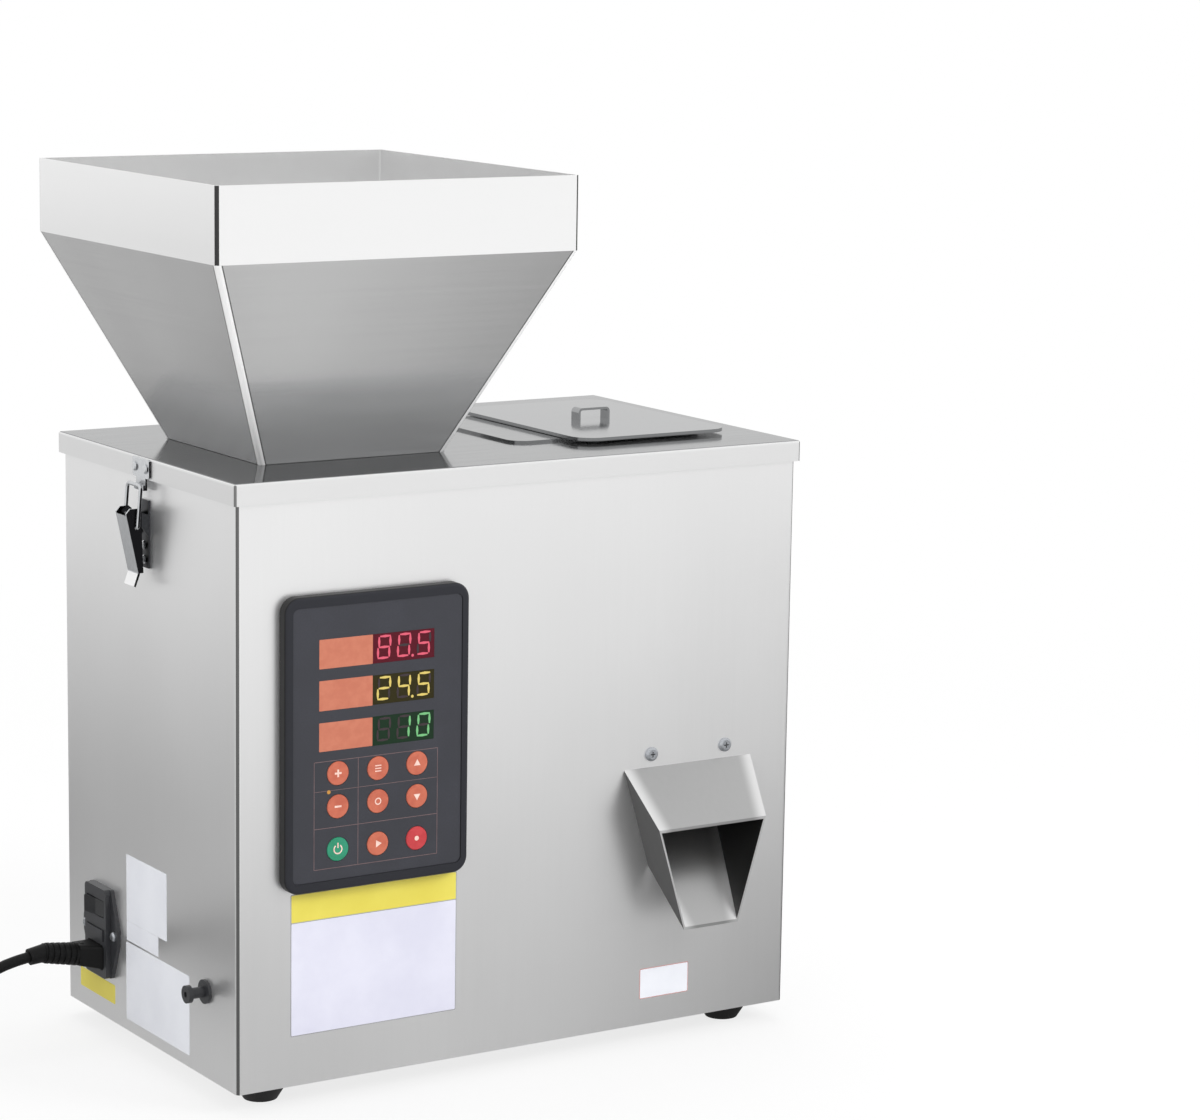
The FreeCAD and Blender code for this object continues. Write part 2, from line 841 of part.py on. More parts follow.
def latch_lever():
    x, z = latch_pivot()
    y = middle_y
    half = lever_width / 2
    profile = lever_profile()
    block = prism_y(profile, y - half, y + half)
    hollow = [(a - lever_sheet, b) for a, b in profile]
    hollow = prism_y(hollow, y - half + lever_sheet, y + half - lever_sheet)
    inside = half - lever_sheet
    head_gap = box(right, right + 2 * lever_reach, y - inside, y + inside, z, z + 8.0)
    lever = block.cut(hollow).cut(hollow.translated(V(-lever_sheet * 4, 0, 0))).cut(head_gap)
    z_end = z + 4.0 - lever_length
    reach = right + 9.0
    tongue = [(reach, z_end + 2.0), (reach - lever_sheet, z_end + 2.0), (reach - lever_sheet, z_end - 1.0),
              (reach + 1.6, z_end - lever_tip + 0.4), (reach + 2.8, z_end - lever_tip + 1.0), (reach, z_end)]
    tongue = prism_y(tongue, y - half + 0.6, y + half - 0.6)
    lever = join([lever, tongue])
    lever = lever.cut(rod(latch_pin_radius + running_gap, (x, y - 12, z), (0, 1, 0), 24))
    lx, lz = loop_pivot()
    return lever.cut(rod(loop_wire_radius + running_gap, (lx, y - 12, lz), (0, 1, 0), 24))


def latch_loop():
    # The wire runs over the hook, down both sides of the lever and into its cheeks.
    x, z = loop_pivot()
    half = loop_width / 2 - loop_wire_radius
    inner = lever_width / 2 - lever_sheet - 0.2
    foot = V(x, middle_y, z)
    head = V(right + lid_overhang + sheet + 4.3, middle_y, z + loop_rise)
    side = V(0, 1, 0)
    near = [foot - side * inner, foot - side * half, head - side * half]
    far = [head + side * half, foot + side * half, foot + side * inner]
    foot_cut = half - lever_width / 2 - 0.1
    return bent_rod(near + far, [foot_cut, loop_bend, loop_bend, foot_cut], loop_wire_radius)


def latch_hook():
    # The plate hangs from the lid's skirt and turns out under the loop.
    x = right + lid_overhang
    z_rivet = lid_top - lid_height / 2
    rod_z = loop_pivot()[1] + loop_rise
    y = middle_y - hook_width / 2
    plate = box(x, x + sheet, y, y + hook_width, z_rivet - 6.0, z_rivet + 6.0)
    plate = round_along(plate, (1, 0, 0), 2.0)
    half = loop_width / 2 - 2 * loop_wire_radius - 1.5
    tongue = [(x, z_rivet), (x, rod_z - 3.6), (x + 2.7, rod_z - 3.6), (x + 2.7, rod_z - 0.4),
              (x + 1.5, rod_z - 0.4), (x + 1.5, rod_z - 2.4), (x + sheet, rod_z - 2.4), (x + sheet, z_rivet)]
    tongue = prism_y(tongue, middle_y - half, middle_y + half)
    pieces = [join([plate, tongue])]
    for side in (-1, 1):
        y = middle_y + side * hook_rivet_spacing / 2
        pieces[0] = pieces[0].cut(rod(rivet_radius, (x, y, z_rivet), (1, 0, 0), sheet))
        pieces.append(pan_screw(rivet_radius, rivet_head, 1.4, sheet, (x + sheet, y, z_rivet), (-1, 0, 0)))
    return pieces


# Lid, cover and hopper

def half_at(z):
    return throat_width / 2 + taper_slope * (z - lid_top)


def lid():
    grow = lid_overhang
    outer = box(left - grow, right + grow, front - grow, back + grow, lid_top - lid_height, lid_top)
    outer = round_along(outer, (0, 0, 1), lid_edge_radius)
    outer = round_top(outer, lid_top, lid_edge_radius)
    grow -= sheet
    inner = box(left - grow, right + grow, front - grow, back + grow, lid_top - lid_height, lid_under)
    tray = outer.cut(inner)
    low = lid_under - throat_lip
    gap = seat_clearance
    wide = gap + sheet
    lip = frustum(hopper_x, middle_y, low, half_at(low) + wide, lid_top, half_at(lid_top) + wide)
    tray = tray.fuse(lip.common(box(left, right, front, back, low, lid_under + sheet / 2)))
    z0 = low - 1
    z1 = lid_top + 1
    hole = frustum(hopper_x, middle_y, z0, half_at(z0) + gap, z1, half_at(z1) + gap)
    tray = tray.cut(hole).removeSplitter()
    return tray.cut(inspection_hole(lid_under - 1, lid_top + 1, 0))


def inspection_hole(z0, z1, shrink):
    half = seat_depth / 2 - inspection_margin - shrink
    x0 = cover_start + inspection_margin * 0.8 + shrink
    x1 = seat_end - inspection_margin - shrink
    hole = box(x0, x1, middle_y - half, middle_y + half, z0, z1)
    return round_along(hole, (0, 0, 1), inspection_corner - shrink)


def cover_seat():
    half = seat_depth / 2
    z = lid_top + seat_thickness
    plate = box(seat_start, seat_end, middle_y - half, middle_y + half, lid_top, z)
    plate = round_along(plate, (0, 0, 1), seat_corner)
    return plate.cut(inspection_hole(lid_top - 1, lid_top + seat_thickness + 1, 0))


def cover_under():
    return lid_top + seat_thickness + rest_gap


def inspection_cover():
    half = cover_depth / 2
    z = cover_under()
    plate = box(cover_start, cover_end, middle_y - half, middle_y + half, z, z + cover_thickness)
    plate = round_along(plate, (0, 0, 1), cover_corner)
    spigot = inspection_hole(z - spigot_depth, z + cover_thickness / 2, spigot_gap)
    hollow = inspection_hole(z - spigot_depth - 1, z, spigot_gap + sheet)
    return plate.fuse(spigot.cut(hollow)).cut(hollow).removeSplitter()


def cover_handle():
    x = (cover_start + cover_end) / 2
    z = cover_under() + cover_thickness
    half = handle_span / 2
    strap = handle_strap
    y = middle_y - handle_width / 2
    outer = box(x - half, x + half, y, y + handle_width, z, z + handle_height)
    high = [edge for edge in outer.Edges if abs(edge.CenterOfMass.z - z - handle_height) < 0.01]
    top = [edge for edge in high if abs(edge.CenterOfMass.x - x) > 1]
    outer = outer.makeFillet(handle_bend, top)
    inner = box(x - half + strap, x + half - strap, middle_y - handle_width, middle_y + handle_width,
                z - 1, z + handle_height - strap)
    top = [e for e in inner.Edges
           if abs(e.CenterOfMass.z - z - handle_height + strap) < 0.01 and abs(e.CenterOfMass.x - x) > 1]
    return outer.cut(inner.makeFillet(handle_bend - strap, top))


def rounded_square(z, half, corner):
    flat = half - corner
    diagonal = flat + corner * math.sqrt(0.5)
    edges = []
    for turn in range(4):
        rotate = FreeCAD.Rotation(V(0, 0, 1), 90 * turn)
        centre = V(hopper_x, middle_y, z)

        def at(x, y):
            return centre + rotate.multVec(V(x, y, 0))

        edges.append(Part.LineSegment(at(-flat, -half), at(flat, -half)).toShape())
        edges.append(Part.Arc(at(flat, -half), at(diagonal, -diagonal), at(half, -flat)).toShape())
    return Part.Wire(edges)


def hopper_block(inset, z_low, z_high, corner):
    band_half = rim_width / 2 - inset
    low = rounded_square(z_low, half_at(z_low) - inset, corner)
    bend = rounded_square(rim_bottom, band_half, corner)
    top = rounded_square(z_high, band_half, corner)
    taper = Part.makeLoft([low, bend], True, True)
    return join([taper, Part.makeLoft([bend, top], True, True)])


def hopper():
    wall = sheet * math.hypot(1, taper_slope)
    outer = hopper_block(0, outlet_z, rim_top, hopper_corner)
    inner = hopper_block(wall, outlet_z - 1, rim_top + 1, hopper_corner - sheet)
    shell = outer.cut(inner)
    return join([shell] + gate_guides())


def on_taper(along, out):
    # A point beside the hopper's right wall: along the slope from its outlet, and out from it.
    lean = math.atan(taper_slope)
    x = hopper_x + half_at(outlet_z) + along * math.sin(lean) + out * math.cos(lean)
    z = outlet_z + along * math.cos(lean) - out * math.sin(lean)
    return x, z


def gate_guides():
    guides = []
    edge = gate_width / 2 + rest_gap
    gap = 2 * rest_gap + sheet
    for side in (-1, 1):
        near = middle_y + side * edge
        far = middle_y + side * (edge + guide_width * 0.6)
        inside = middle_y + side * (edge - guide_width)
        corners = [(guide_start, -0.4), (guide_end, -0.4), (guide_end, gap), (guide_start, gap)]
        spacer = [on_taper(along, out) for along, out in corners]
        guides.append(prism_y(spacer, min(near, far), max(near, far)))
        keeper = [on_taper(guide_start, gap), on_taper(guide_end, gap), on_taper(guide_end, gap + sheet),
                  on_taper(guide_start, gap + sheet)]
        guides.append(prism_y(keeper, min(inside, far), max(inside, far)))
    return guides


def flow_gate():
    half = gate_width / 2
    gap = rest_gap
    blade = [on_taper(-gate_below, gap), on_taper(gate_above, gap), on_taper(gate_above, gap + sheet),
             on_taper(-gate_below, gap + sheet)]
    tab = [on_taper(gate_above - sheet, gap), on_taper(gate_above, gap), on_taper(gate_above, gate_tab),
           on_taper(gate_above - sheet, gate_tab)]
    wide = prism_y(blade, middle_y - half, middle_y + half)
    return join([wide, prism_y(tab, middle_y - half / 2, middle_y + half / 2)])


# Feeder

def spring_line(index, height):
    # A point on the clamping face of a leaf spring, at a height over the base block's top.
    x = hopper_x - 27.0 + spring_spacing * index
    return x - height * math.tan(math.radians(spring_lean)), carrier_under() - spring_free + height


def carrier_under():
    return trough_z - sheet - carrier_height


def trough_plan(inset, extra):
    x0 = hopper_x - trough_tail + inset
    x1 = chute_x - bucket_width / 2 + trough_overlap + extra
    x_bend = hopper_x + trough_straight
    y_front = middle_y - trough_half_width + inset
    y_rear = middle_y + trough_half_width - inset
    y_exit = middle_y - trough_half_width + trough_exit_width - inset
    return [(x0, y_front), (x1, y_front), (x1, y_exit), (x_bend, y_rear), (x0, y_rear)]


def feed_trough():
    outer = prism_z(trough_plan(0, 0), trough_z - sheet, trough_z + trough_wall)
    return outer.cut(prism_z(trough_plan(sheet, 2.0), trough_z, trough_z + trough_wall + 1))


def between_springs(low, high, width):
    outline = [spring_line(0, low), spring_line(1, low), spring_line(1, high), spring_line(0, high)]
    return prism_y(outline, middle_y - width / 2, middle_y + width / 2)


def trough_carrier():
    beam = between_springs(spring_free, spring_free + carrier_height, carrier_width)
    half = carrier_width / 2 - carrier_wall
    for side in (-1, 1):
        x = magnet_x() + side * (magnet_length / 2 + carrier_wall) - 10.0
        pocket = box(x - 8.0, x + 8.0, middle_y - half, middle_y + half, carrier_under() - 1, trough_z)
        beam = beam.cut(pocket)
    return beam


def magnet_x():
    return (spring_line(0, 0)[0] + spring_line(1, 0)[0]) / 2


def feeder_base():
    return between_springs(-feeder_base_height, 0, feeder_base_width)


def feeder_magnet():
    x = magnet_x()
    z0 = spring_line(0, 0)[1]
    z1 = carrier_under() - 6.0 - magnet_gap
    half = magnet_length / 2
    core = box(x - half, x + half, middle_y - magnet_width / 2, middle_y + magnet_width / 2, z0, z1)
    arm = magnet_length / 5
    for side in (-1, 1):
        slot_x = x + side * arm
        core = core.cut(box(slot_x - arm / 2, slot_x + arm / 2, front, back, z0 + 6.0, z1 + 1))
    wide = magnet_width / 2 + 6
    coil = box(x - arm * 1.4, x + arm * 1.4, middle_y - wide, middle_y + wide, z0 + 6.0, z1 - 4.0)
    coil = round_along(coil, (0, 0, 1), 3.0)
    limb = box(x - arm / 2, x + arm / 2, middle_y - magnet_width / 2, middle_y + magnet_width / 2, z0, z1)
    return [core, coil.cut(limb)]


def feeder_armature():
    x = magnet_x()
    half = magnet_length / 2
    z = carrier_under()
    return box(x - half, x + half, middle_y - magnet_width / 2, middle_y + magnet_width / 2, z - 6.0, z)


def leaf_springs():
    springs = []
    low = -feeder_base_height * 0.8
    high = spring_free + carrier_height * 0.8
    step = spring_thickness / math.cos(math.radians(spring_lean))
    for index, side in ((0, -1), (1, 1)):
        a = spring_line(index, low)
        b = spring_line(index, high)
        outline = [a, b, (b[0] + side * step, b[1]), (a[0] + side * step, a[1])]
        springs.append(prism_y(outline, middle_y - spring_width / 2, middle_y + spring_width / 2))
    return springs


def deck_top():
    return carrier_under() - spring_free - feeder_base_height - damper_height


def damper_places():
    z = -feeder_base_height
    x0 = spring_line(0, z)[0] + 16.0
    x1 = spring_line(1, z)[0] - 16.0
    half = feeder_base_width / 2 - 12.0
    return [(x, middle_y + side * half) for x in (x0, x1) for side in (-1, 1)]


def feeder_dampers():
    return [rod(damper_radius, (x, y, deck_top()), (0, 0, 1), damper_height) for x, y in damper_places()]


def feeder_deck():
    x0 = left + sheet
    x1 = chute_x - bucket_width / 2 - deck_gap
    y0 = front + deck_from_front
    y1 = back - 2 * sheet - 2.0
    z = deck_top()
    pieces = [
        box(x0, x1, y0, y1, z - sheet, z),
        box(x0, x0 + sheet, y0, y1, z - deck_flange, z),
        box(x0, x1, y0, y0 + sheet, z - deck_flange, z),
        box(x0, x1, y1 - sheet, y1, z - deck_flange, z),
        box(x1 - sheet, x1, y0, y1, bottom + sheet, z),
        box(x1 - deck_flange, x1, y0, y1, bottom + sheet, bottom + 2 * sheet),
    ]
    return join(pieces)


# Weighing parts

def bucket_top():
    return trough_z - sheet - bucket_gap


def bucket_points():
    y_rear = front + bucket_rear
    z_knee = bucket_top() - bucket_wall_height
    y_toe = y_rear - bucket_floor_run
    z_toe = z_knee - bucket_floor_drop
    return y_rear, z_knee, y_toe, z_toe


def weigh_bucket():
    y_rear, z_knee, y_toe, z_toe = bucket_points()
    y_front = front + bucket_front
    z_top = bucket_top()
    z_lip = z_top - bucket_front_height
    x0 = chute_x - bucket_width / 2
    x1 = chute_x + bucket_width / 2
    slope = bucket_floor_drop / bucket_floor_run
    lift = sheet * math.hypot(1, slope)
    outline = [(y_front, z_top), (y_rear, z_top), (y_rear, z_knee), (y_toe, z_toe), (y_front, z_lip)]
    outer = prism_x(outline, x0, x1)
    y_far = y_toe - 8.0
    inside = [
        (y_front + sheet, z_top + 4),
        (y_rear - sheet, z_top + 4),
        (y_rear - sheet, z_knee + lift - sheet * slope),
        (y_far, z_toe + lift - slope * (y_toe - y_far)),
        (y_front - 12, z_lip - 8),
        (y_front + sheet, z_lip - 0.2),
    ]
    shell = outer.cut(prism_x(inside, x0 + sheet, x1 - sheet))
    hy, hz = flap_hinge()
    nose = [(1.0, -4.0), (-2.8, -2.8), (-4.0, 0.0), (-2.8, 2.8), (0.0, 4.0)]
    ear = [(y_front, z_lip + 10), (y_front, z_lip)] + [(hy + dy, hz + dz) for dy, dz in nose]
    ears = [prism_x(ear, x, x + sheet) for x in (x0, x1 - sheet)]
    z = load_cell_top()
    tab = box(chute_x - 16, chute_x + 16, y_rear - sheet, y_rear + 26.0, z, z + sheet)
    bucket = join([shell, tab] + ears)
    return bucket.cut(rod(flap_pin_radius, (x0 - 2, hy, hz), (1, 0, 0), bucket_width + 4))


def load_cell_top():
    return bucket_top() - 14.0


def flap_frame():
    # The flap lies along the line from the front wall's lip to the floor's toe.
    y_rear, z_knee, y_toe, z_toe = bucket_points()
    start = V(0, front + bucket_front, bucket_top() - bucket_front_height)
    along = V(0, y_toe, z_toe) - start
    length = along.Length
    along.normalize()
    out = V(0, along.z, -along.y)
    return start, along, out, length


def flap_hinge():
    start, along, out, length = flap_frame()
    place = start + out * (flap_gap + flap_knuckle_radius) - along * 2.0
    return place.y, place.z


def flap_pin():
    hy, hz = flap_hinge()
    return rod(flap_pin_radius, (chute_x - bucket_width / 2 - 0.6, hy, hz), (1, 0, 0), bucket_width + 1.2)


def bucket_flap():
    start, along, out, length = flap_frame()

    def at(s, n):
        place = start + along * s + out * n
        return place.y, place.z

    half = bucket_width / 2
    near = flap_gap
    far = flap_gap + sheet
    end = length + 2
    leaf = [at(5, near), at(end, near), at(end, far), at(5, far)]
    leaf = prism_x(leaf, chute_x - half, chute_x + half)
    inner = half - sheet - rest_gap
    neck = prism_x([at(-2, near), at(5, near), at(5, far), at(-2, far)], chute_x - inner, chute_x + inner)
    hy, hz = flap_hinge()
    knuckle = rod(flap_knuckle_radius, (chute_x - inner, hy, hz), (1, 0, 0), 2 * inner)
    x_arm = chute_x + half + 1.2
    step = prism_x([at(6, near), at(18, near), at(18, far), at(6, far)], chute_x + half - 2, x_arm + 1.5)
    low = math.radians(flap_arm_angle - 5)
    high = math.radians(flap_arm_angle + 5)
    tip = [(hy + flap_arm * math.cos(turn), hz + flap_arm * math.sin(turn)) for turn in (low, high)]
    arm = prism_x([at(6, far), at(18, far), at(18, near)] + tip + [(hy + 2, hz + 6)], x_arm, x_arm + 1.5)
    flap = join([leaf, neck, knuckle, step, arm])
    bore = rod(flap_pin_radius + running_gap, (chute_x - half - 2, hy, hz), (1, 0, 0), bucket_width + 4)
    return flap.cut(bore)


def crank_centre():
    hy, hz = flap_hinge()
    return hy + crank_from_hinge, hz + crank_rise


def crank_x():
    return chute_x + bucket_width / 2 + 7.0


def flap_crank():
    y, z = crank_centre()
    x = crank_x()
    disc = rod(crank_disc_radius, (x, y, z), (1, 0, 0), 3.5)
    pin = rod(crank_pin_radius, (x - 6.0, y - crank_radius, z), (1, 0, 0), 6.0)
    shaft = rod(3.0, (x + 3.5, y, z), (1, 0, 0), 10.0)
    return join([disc, pin, shaft])


def motor_face():
    return crank_x() + 3.5 + 1.0 + sheet


def flap_motor():
    y, z = crank_centre()
    body = rod(motor_radius, (motor_face(), y, z), (1, 0, 0), motor_length)
    body = body.fuse(rod(motor_radius * 0.4, (motor_face() + motor_length, y, z), (1, 0, 0), 1.0))
    return body.cut(rod(3.0 + running_gap, (motor_face(), y, z), (1, 0, 0), 9.5))


def motor_bracket():
    y, z = crank_centre()
    x = motor_face() - sheet
    wide = motor_radius + 6.0
    z_low = z - motor_radius - 2.0 - sheet
    pieces = [
        box(x, x + sheet, y - wide, y + wide, z_low, z + motor_radius + 3.0),
        box(x, right - sheet, y - wide, y + wide, z_low, z_low + sheet),
        box(right - 2 * sheet, right - sheet, y - wide, y + wide, z_low - 16.0, z_low + sheet),
    ]
    return join(pieces).cut(rod(4.2, (x, y, z), (1, 0, 0), sheet))


def load_cell():
    half = load_cell_size / 2
    y0 = front + bucket_rear + 3.0
    z1 = load_cell_top()
    bar = box(chute_x - half, chute_x + half, y0, y0 + load_cell_length, z1 - load_cell_size, z1)
    middle = y0 + load_cell_length / 2
    z = z1 - half
    for offset in (-6.0, 6.0):
        bar = bar.cut(rod(4.2, (chute_x - half, middle + offset, z), (1, 0, 0), load_cell_size))
    return bar


def load_cell_post():
    # A folded column from the base plate to the fixed end of the load cell.
    z1 = load_cell_top() - load_cell_size
    y1 = front + bucket_rear + 3.0 + load_cell_length
    y0 = y1 - post_depth
    z0 = bottom + sheet
    half = post_width / 2
    outer = box(chute_x - half, chute_x + half, y0, y1, z0, z1)
    inner = box(chute_x - half + sheet, chute_x + half - sheet, y0 - 1, y1 - sheet, z0 - 1, z1 - sheet)
    foot = box(chute_x - half, chute_x + half, y1 - sheet, y1 + deck_flange, z0, z0 + sheet)
    return join([outer.cut(inner), foot])


def power_board():
    x0 = left + power_board_left
    x1 = x0 + power_board_length
    y0 = middle_y - power_board_width / 2
    y1 = middle_y + power_board_width / 2
    z0 = bottom + sheet + board_standoff
    top = z0 + board_thickness
    inset = board_leg_inset
    places = [(x, y, bottom + sheet) for x in (x0 + inset, x1 - inset) for y in (y0 + inset, y1 - inset)]
    legs = [rod(inset / 2, place, (0, 0, 1), board_standoff) for place in places]
    board = box(x0, x1, y0, y1, z0, top)
    start = x0 + 2 * inset
    half = transformer_width / 2
    z = top + transformer_height
    transformer = box(start, start + transformer_length, middle_y - half, middle_y + half, top, z)
    x = start + transformer_length + capacitor_gap
    spread = capacitor_radius * 1.6
    spots = [(x, middle_y + side * spread, top) for side in (-1, 1)]
    caps = [rod(capacitor_radius, spot, (0, 0, 1), capacitor_height) for spot in spots]
    end = x1 - 2 * inset
    half = heat_sink_width / 2
    sink = box(end - heat_sink_length, end, middle_y - half, middle_y + half, top, top + heat_sink_height)
    fin = heat_sink_length / 8
    for step in range(3):
        x = end - heat_sink_length + fin * (1 + 2.5 * step)
        sink = sink.cut(box(x, x + 1.5 * fin, y0, y1, top + 2 * fin, top + heat_sink_height + 1))
    return [join([board, transformer, sink] + legs + caps)]


# Mains lead

def cord_tube():
    radius = cord_diameter / 2
    points = [V(*point) for point in cord_route]
    cuts = []
    length = (points[1] - points[0]).Length
    for before, point, after in zip(points, points[1:], points[2:]):
        cut = 0.45 * min((point - before).Length, (after - point).Length)
        turn = (point - before).getAngle(after - point)
        bend = cut / math.tan(turn / 2)
        print("cord bend radius", round(bend, 1))
        length += (after - point).Length - 2 * cut + bend * turn
        cuts.append(cut)
    tube = bent_rod(points, cuts, radius)
    ratio = tube.Volume / (math.pi * radius ** 2 * length)
    print("cord tube length", round(length, 1), "volume ratio", round(ratio, 4))
    return tube


def coil_centre():
    x, y, z = cord_route[-1]
    return x, y + coil_turn_radius + cord_diameter / 2


def cord_coil():
    x, y = coil_centre()
    tall = coil_layers * cord_diameter
    outer = rod(coil_turn_radius + cord_diameter, (x, y, 0), (0, 0, 1), tall)
    return outer.cut(rod(coil_turn_radius - cord_diameter, (x, y, 0), (0, 0, 1), tall))


def mains_plug():
    # The plug lies across the coil, with its boot over the near turns.
    x, y = coil_centre()
    y += plug_offset
    z0 = coil_layers * cord_diameter
    z = z0 + plug_height / 2
    x0 = x - 9.0
    boot = Part.makeCone(cord_diameter / 2 + 0.6, 6.0, plug_boot, V(x0, y, z), V(1, 0, 0))
    x1 = x0 + plug_boot
    body = box(x1, x1 + plug_length, y - plug_width / 2, y + plug_width / 2, z0, z0 + plug_height)
    body = round_along(body, (1, 0, 0), 6.0)
    x2 = x1 + plug_length
    middles = [y - blade_spacing / 2, y + blade_spacing / 2]
    blades = [box(x2, x2 + 17, at - 0.75, at + 0.75, z - 3.2, z + 3.2) for at in middles]
    earth = rod(2.4, (x2, y, z - 7.0), (1, 0, 0), 19.0)
    return join([boot, body, earth] + blades)


def save(node, shape):
    solids = shape if isinstance(shape, list) else [shape]
    solids = [solid for piece in solids for solid in piece.Solids]
    for solid in solids:
        if not solid.isValid() or solid.Volume <= 0:
            print("bad solid in", node, solid.isValid(), solid.Volume)
    model = solids[0] if len(solids) == 1 else Part.makeCompound(solids)
    model.exportStep("parts/" + node + ".step")


def build():
    os.makedirs("parts", exist_ok=True)
    pieces = {
        "case_wrap": case_wrap(),
        "base_plate": base_plate(),
        "rear_panel": rear_panel(),
        "case_screws": case_screws(),
        "rubber_feet": rubber_feet(),
        "foot_screws": foot_screws(),
        "discharge_chute": discharge_chute(),
        "panel_bezel": panel_bezel(),
        "control_face": control_face(),
        "display_modules": display_boxes(0),
        "control_board": control_board(),
        "power_inlet": power_inlet(),
        "rocker_switch": rocker_switch(),
        "fuse_drawer": fuse_drawer(),
        "fuse": fuse(),
        "inlet_screws": inlet_screws(),
        "mains_connector": mains_connector(),
        "pedal_socket": pedal_socket(),
        "lid": lid(),
        "cover_seat": cover_seat(),
        "inspection_cover": inspection_cover(),
        "cover_handle": cover_handle(),
        "hopper": hopper(),
        "flow_gate": flow_gate(),
        "feeder_deck": feeder_deck(),
        "feeder_dampers": feeder_dampers(),
        "feeder_base": feeder_base(),
        "feeder_magnet": feeder_magnet(),
        "feeder_armature": feeder_armature(),
        "leaf_springs": leaf_springs(),
        "trough_carrier": trough_carrier(),
        "feed_trough": feed_trough(),
        "weigh_bucket": weigh_bucket(),
        "bucket_flap": bucket_flap(),
        "flap_pin": flap_pin(),
        "flap_crank": flap_crank(),
        "flap_motor": flap_motor(),
        "motor_bracket": motor_bracket(),
        "load_cell": load_cell(),
        "load_cell_post": load_cell_post(),
        "power_board": power_board(),
        "cord_tube": cord_tube(),
        "cord_coil": cord_coil(),
        "mains_plug": mains_plug(),
        "latch_bases": [latch_base(), mirrored(latch_base())],
        "latch_rivets": latch_rivets() + [mirrored(rivet) for rivet in latch_rivets()],
        "latch_hooks": latch_hook() + [mirrored(piece) for piece in latch_hook()],
        "latch_lever_right": latch_lever(),
        "latch_lever_left": mirrored(latch_lever()),
        "latch_loop_right": latch_loop(),
        "latch_loop_left": mirrored(latch_loop()),
    }
    for row in key_names:
        for name in row:
            pieces[name] = key_cap(name)
    for node, shape in pieces.items():
        save(node, shape)
    print(len(pieces), "nodes")


build()
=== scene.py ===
# %% [markdown]
# # A bench-top powder filling machine
#
# The measured model of the machine comes in first. It is the fixed frame: every node of it stays
# where the drawing put it. What this script adds is what a drawing leaves out, such as the finish of
# each metal, the print on the panel, the lit digits, the labels, and the mains lead as one curve.

import math

import bmesh
import bpy
from mathutils import Matrix, Vector


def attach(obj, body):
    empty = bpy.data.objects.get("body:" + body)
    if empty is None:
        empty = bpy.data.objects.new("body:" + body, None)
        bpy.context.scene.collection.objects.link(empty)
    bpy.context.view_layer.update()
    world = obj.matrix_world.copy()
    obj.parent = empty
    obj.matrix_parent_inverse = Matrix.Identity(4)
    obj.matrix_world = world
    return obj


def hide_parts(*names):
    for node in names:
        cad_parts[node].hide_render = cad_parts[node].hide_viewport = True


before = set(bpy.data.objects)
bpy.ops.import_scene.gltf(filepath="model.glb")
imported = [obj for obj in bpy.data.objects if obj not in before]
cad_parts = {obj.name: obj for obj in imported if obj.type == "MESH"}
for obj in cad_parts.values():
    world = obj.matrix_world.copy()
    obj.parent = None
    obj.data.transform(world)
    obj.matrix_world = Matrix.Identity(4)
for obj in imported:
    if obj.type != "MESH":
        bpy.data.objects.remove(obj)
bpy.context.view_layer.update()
scene = bpy.context.scene
scene.view_settings.view_transform = "Standard"

# %% [markdown]
# ## The camera
#
# The viewpoint was found by fitting the straight edges of the case. Three angles give the direction of
# view, and a long lens keeps the upright edges nearly parallel. A camera looks along its own -Z axis,
# so its matrix has the picture's right, the picture's up and the way back as its columns.

# %% Camera
yaw, pitch, roll = math.radians(32.789), math.radians(10.073), math.radians(0.923)
look = Vector((math.sin(yaw) * math.cos(pitch), math.cos(yaw) * math.cos(pitch), -math.sin(pitch)))
level = Vector((math.cos(yaw), -math.sin(yaw), 0))
upright = level.cross(look)
across = math.cos(roll) * level + math.sin(roll) * upright
upward = -math.sin(roll) * level + math.cos(roll) * upright
lens = bpy.data.cameras.new("viewpoint")
lens.lens = 110.35
lens.sensor_width = 36.0
lens.sensor_fit = "HORIZONTAL"
camera = bpy.data.objects.new("viewpoint", lens)
scene.collection.objects.link(camera)
turned = Matrix((across, upward, -look)).transposed().to_4x4()
camera.matrix_world = Matrix.Translation((-1.16657, -1.99920, 0.71855)) @ turned
scene.camera = camera
print("camera looks along", [round(part, 3) for part in look])

# %% [markdown]
# ## A language for finishes
#
# A shader is a small graph of sums. Wiring it by hand hides the idea, so one class wraps an output
# socket and lets plain Python expressions build the Math nodes: `1 - mask * 0.3` adds two of them.

# %% A socket that can be used in sums
class Tap:
    """One output socket of a finish, used in sums like a number."""

    def __init__(self, finish, socket):
        self.finish = finish
        self.socket = socket

    def __add__(self, other):
        return self.finish.maths("ADD", self, other)

    def __radd__(self, other):
        return self.finish.maths("ADD", other, self)

    def __sub__(self, other):
        return self.finish.maths("SUBTRACT", self, other)

    def __rsub__(self, other):
        return self.finish.maths("SUBTRACT", other, self)

    def __mul__(self, other):
        return self.finish.maths("MULTIPLY", self, other)

    def __rmul__(self, other):
        return self.finish.maths("MULTIPLY", other, self)

    def __gt__(self, other):
        return self.finish.maths("GREATER_THAN", self, other)

    def __lt__(self, other):
        return self.finish.maths("LESS_THAN", self, other)


# %% [markdown]
# The finish itself holds one Principled shader. Its `node` method adds any other node: the settings
# first, because some of them change which sockets exist, and then the values or links.

# %% A finish
def tone(code):
    """A colour as it is picked from a screen, such as d9795a, as the linear one that Blender wants."""
    parts = [int(code[i:i + 2], 16) / 255 for i in (0, 2, 4)]
    linear = [p / 12.92 if p <= 0.04045 else ((p + 0.055) / 1.055) ** 2.4 for p in parts]
    return (*linear, 1.0)


